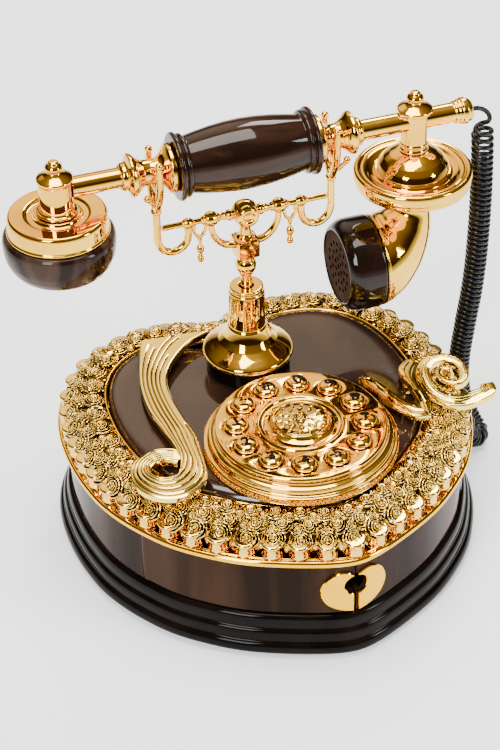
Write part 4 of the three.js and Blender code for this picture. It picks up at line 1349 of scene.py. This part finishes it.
def transmitter():
    """The mouthpiece's post with finial, its saucer, and the horn that turns to face the mouth."""
    turned([(0, 195.0), (7.2, 195.0), (7.6, 195.5), (7.4, 196.4), (6.7, 197.1), (6.8, 198),
            (7.5, 198.6), (7.4, 199.4), (6.9, 200), (6.9, 216.4), *FINIAL], 64, 0.4
           ).moved(upright(TRANSMITTER_U)).piece("mouth_post", "gold", "handset", ["transmitter_post"])
    build = turned([
        (0, 164.6), (9, 164.6), (9.8, 166), (11.6, 168), (15, 170.1), (21, 172.2), (27.4, 174.1),
        (29.6, 175), (30.2, 175.9), (30.3, 177.6), (31.0, 178.4), (31.1, 181.8), (30.7, 183.2),
        (29.6, 184.1), (28.2, 184), (27.2, 183.3), (26.2, 183.5), (24.6, 183.3), (23.2, 182.4),
        (21.4, 181.6), (20.2, 181.5), (19.7, 182.4), (19.3, 184.6), (17.9, 187.6),
        (15.4, 190.4), (12.2, 192.7), (8.8, 194.4), (7.6, 194.7), (0, 194.7)], 96, 0.4)
    build.moved(lambda p: p + np.array([TRANSMITTER_U, 0, 0]))
    stations = np.array([   # along, height, radius, turn in degrees
        (91.8, 166, 8.8, 0), (91.8, 160.6, 9.3, 5), (91, 155.4, 11.4, 20), (88.8, 148.4, 14.8, 40),
        (84.6, 140.2, 18.8, 60), (78.6, 134, 22.4, 77), (73.2, MOUTH_Z, 24, 90),
        (70.3, MOUTH_Z, 24.1, 90)])
    smooth = spline(np.column_stack([stations[:, :3], stations[:, 3] / 3]), 44)
    angles = np.linspace(0, 2 * math.pi, 72, endpoint=False)
    rings = []
    for u, z, r, third in smooth:
        t = math.radians(third * 3)
        across = r * np.cos(angles)
        rings.append(np.column_stack([u + across * math.cos(t), r * np.sin(angles),
                                      z - across * math.sin(t)]))
    loops = build.rings(rings)
    build.cap(loops[0], loops[-1])
    lip = turned([(23.4, 70.4), (24.3, 70.4), (24.6, 71.0), (24.3, 71.8), (23.4, 71.8)], 72, 0.25)
    build.join(lip, lambda p: np.column_stack([p[:, 2], p[:, 0], p[:, 1] + MOUTH_Z]))
    build.moved(on_column).piece("saucer_and_horn", "gold", "handset", ["transmitter_horn"])


def mouthpiece():
    """The brown cap: rounded rim, shallow dished face with rings of small holes."""
    build = Build()
    rim = soften([(16.6, 70), (23.6, 70), (24.7, 69.2), (24.9, 68.2), (24.9, 58.8), (24.7, 56.4),
                  (24.0, 54.1), (22.9, 52.2), (21.7, 50.9), (20.7, 50.3), (19.9, 50.3), (19.4, 50.9)],
                 0.5, steps=3)
    outer = build.rings([circle_points(r, z, 96) for r, z in rim])
    inner = build.rings([circle_points(r, z, 96) for r, z in ((18.2, 57.6), (18.2, 53.6))])
    build.bridge(outer[0], inner[0])
    build.bridge(inner[-1], outer[-1])
    build.moved(lengthwise(MOUTH_Z)).piece("mouth_cap", "cap", "handset", ["mouthpiece_cap"], 30)
    build = Build()
    edge = build.rings([circle_points(r, z, 96) for r, z in ((18.0, 54.4), (19.3, 54.4), (19.3, 51.0))])
    build.cap(edge[0])
    wells = Build()
    holes = []
    for count, radius, start in ((1, 0, 0), (6, 4.4, 0.3), (11, 8.6, 0.1), (16, 12.9, 0.2)):
        for k in range(count):
            a = start + 2 * math.pi * k / count
            spot = (radius * math.cos(a), radius * math.sin(a))
            loops = build.rings([circle_points(r, z, 12, spot) for r, z in
                                 ((1.3, 51.0), (1.25, 51.05))])
            holes.append(loops[0])
            loops = wells.rings([circle_points(r, z, 12, spot) for r, z in ((1.25, 51.05), (1.2, 53))])
            wells.cap(loops[-1])
    build.fill(edge[-1], *holes)
    build.moved(lengthwise(MOUTH_Z)).piece("mouth_face", "face", "handset", sharp=30)
    wells.moved(lengthwise(MOUTH_Z)).piece("mouth_holes", "hole", "handset", sharp=30)


handset_bar()
grip()
for ferrule_side in SIDES:
    ferrule(ferrule_side)
receiver()
transmitter()
mouthpiece()


# ---------- cord socket and the CAD pieces that stay ----------
def cord_socket():
    """The black inlet on the right flank that the cord runs into."""
    low, high = node_box("cord_socket")
    y, z = (low + high)[1:] / 2
    turned([(0, 0), (5.6, 0), (6, 0.4), (6, 1.1), (5.4, 1.5), (4.1, 2.0), (3.7, 3.4), (3.4, 5.8),
            (3.0, 6.2), (1.6, 6.2), (1.5, 5.4), (0, 5.4)], 40, 0.3).moved(
        lambda p: np.column_stack([p[:, 2] + low[0], p[:, 0] + y, p[:, 1] + z])
    ).piece("cord_inlet", "black", "base", ["cord_socket"])


cord_socket()
KEPT = {
    "steel": "bottom_plate drawer_pin_left drawer_pin_right cradle_spring receiver_capsule microphone "
             "ringer",
    "board": "keypad_board main_board",
    "black": "hook_switch line_socket",
    "rubber": "foot_front_left foot_front_right foot_rear_left foot_rear_right",
}
for material_name, node_names in KEPT.items():
    for node_name in node_names.split():
        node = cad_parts[node_name]
        node.data.materials.clear()
        node.data.materials.append(materials[material_name])


# ---------- floor and light ----------
PANEL_TOWARD = (0.02, 0.76, 0.65)            # the dial, ribbons and plate mirror this way
PANEL_GLOW = (2.1, 1.66, 1.2)
FLOOR_HALF_M = 30.0


def surroundings():
    """A dim warm room round the phone, with a pale horizon, a bright ceiling and one pale wall."""
    world = bpy.data.worlds.new("studio")
    world.use_nodes = True
    tree = world.node_tree
    links = tree.links.new
    where = tree.nodes.new("ShaderNodeTexCoord").outputs["Generated"]
    split = tree.nodes.new("ShaderNodeSeparateXYZ")
    links(where, split.inputs["Vector"])
    height = ramp_node(tree, [
        (0.0, (0.80, 0.76, 0.70)), (0.515, (0.80, 0.76, 0.70)), (0.58, (0.022, 0.013, 0.008)),
        (0.70, (0.05, 0.030, 0.018)), (0.93, (0.35, 0.27, 0.19)), (1.0, (0.90, 0.74, 0.57))])
    shift = feed(tree.nodes.new("ShaderNodeMapRange"), From_Min=-1.0)
    links(split.outputs["Z"], shift.inputs["Value"])
    links(shift.outputs["Result"], height.inputs["Fac"])
    toward = tree.nodes.new("ShaderNodeVectorMath")
    toward.operation = "DOT_PRODUCT"
    toward.inputs[1].default_value = Vector(PANEL_TOWARD).normalized()
    links(where, toward.inputs[0])
    panel = feed(tree.nodes.new("ShaderNodeMapRange"), From_Min=0.875, From_Max=0.985)
    panel.interpolation_type = "SMOOTHSTEP"
    links(toward.outputs["Value"], panel.inputs["Value"])
    mix = tree.nodes.new("ShaderNodeMix")
    mix.data_type = "RGBA"
    mix.inputs[7].default_value = (*PANEL_GLOW, 1)
    links(panel.outputs["Result"], mix.inputs[0])
    links(height.outputs["Color"], mix.inputs[6])
    links(mix.outputs[2], tree.nodes["Background"].inputs["Color"])
    bpy.context.scene.world = world


def softbox(name, place, size_m, power, colour=(1, 1, 1), aim=(0, 0, 0.12)):
    """An area lamp at a place in metres, turned to the phone."""
    lamp = bpy.data.objects.new(name, bpy.data.lights.new(name, "AREA"))
    lamp.data.shape = "RECTANGLE"
    lamp.data.size, lamp.data.size_y = size_m
    lamp.data.energy = power
    lamp.data.color = colour
    lamp.location = place
    lamp.rotation_mode = "QUATERNION"
    lamp.rotation_quaternion = (Vector(aim) - Vector(place)).to_track_quat("-Z", "Y")
    bpy.context.scene.collection.objects.link(lamp)


def studio():
    """A plain pale floor under soft lamps."""
    floor = bpy.data.objects.new("floor", bpy.data.meshes.new("floor"))
    corners = [(x * FLOOR_HALF_M, y * FLOOR_HALF_M, 0) for x, y in ((-1, -1), (1, -1), (1, 1), (-1, 1))]
    floor.data.from_pydata(corners, [], [(0, 1, 2, 3)])
    shade = Shader("floor_paint", Roughness=0.7, Specular_IOR_Level=0.1, Emission_Strength=0.6,
                   Emission_Color=(0.97, 0.99, 1.0, 1))
    shade.colour(shade.ramp(shade.noise(3, 2),
                            [(0.3, (0.86, 0.90, 0.96)), (0.7, (0.88, 0.92, 0.98))]))
    floor.data.materials.append(shade.material)
    bpy.context.scene.collection.objects.link(floor)
    softbox("key_light", (-1.1, -1.0, 1.2), (0.5, 0.85), 30)
    softbox("fill_light", (1.2, -1.1, 0.9), (0.3, 0.7), 15, (0.93, 0.96, 1.0))
    softbox("top_light", (0.0, 0.1, 2.0), (1.2, 1.2), 62, (1.0, 0.95, 0.87))
    softbox("rear_light", (0.9, 1.3, 1.7), (0.6, 0.6), 22)
    surroundings()


studio()
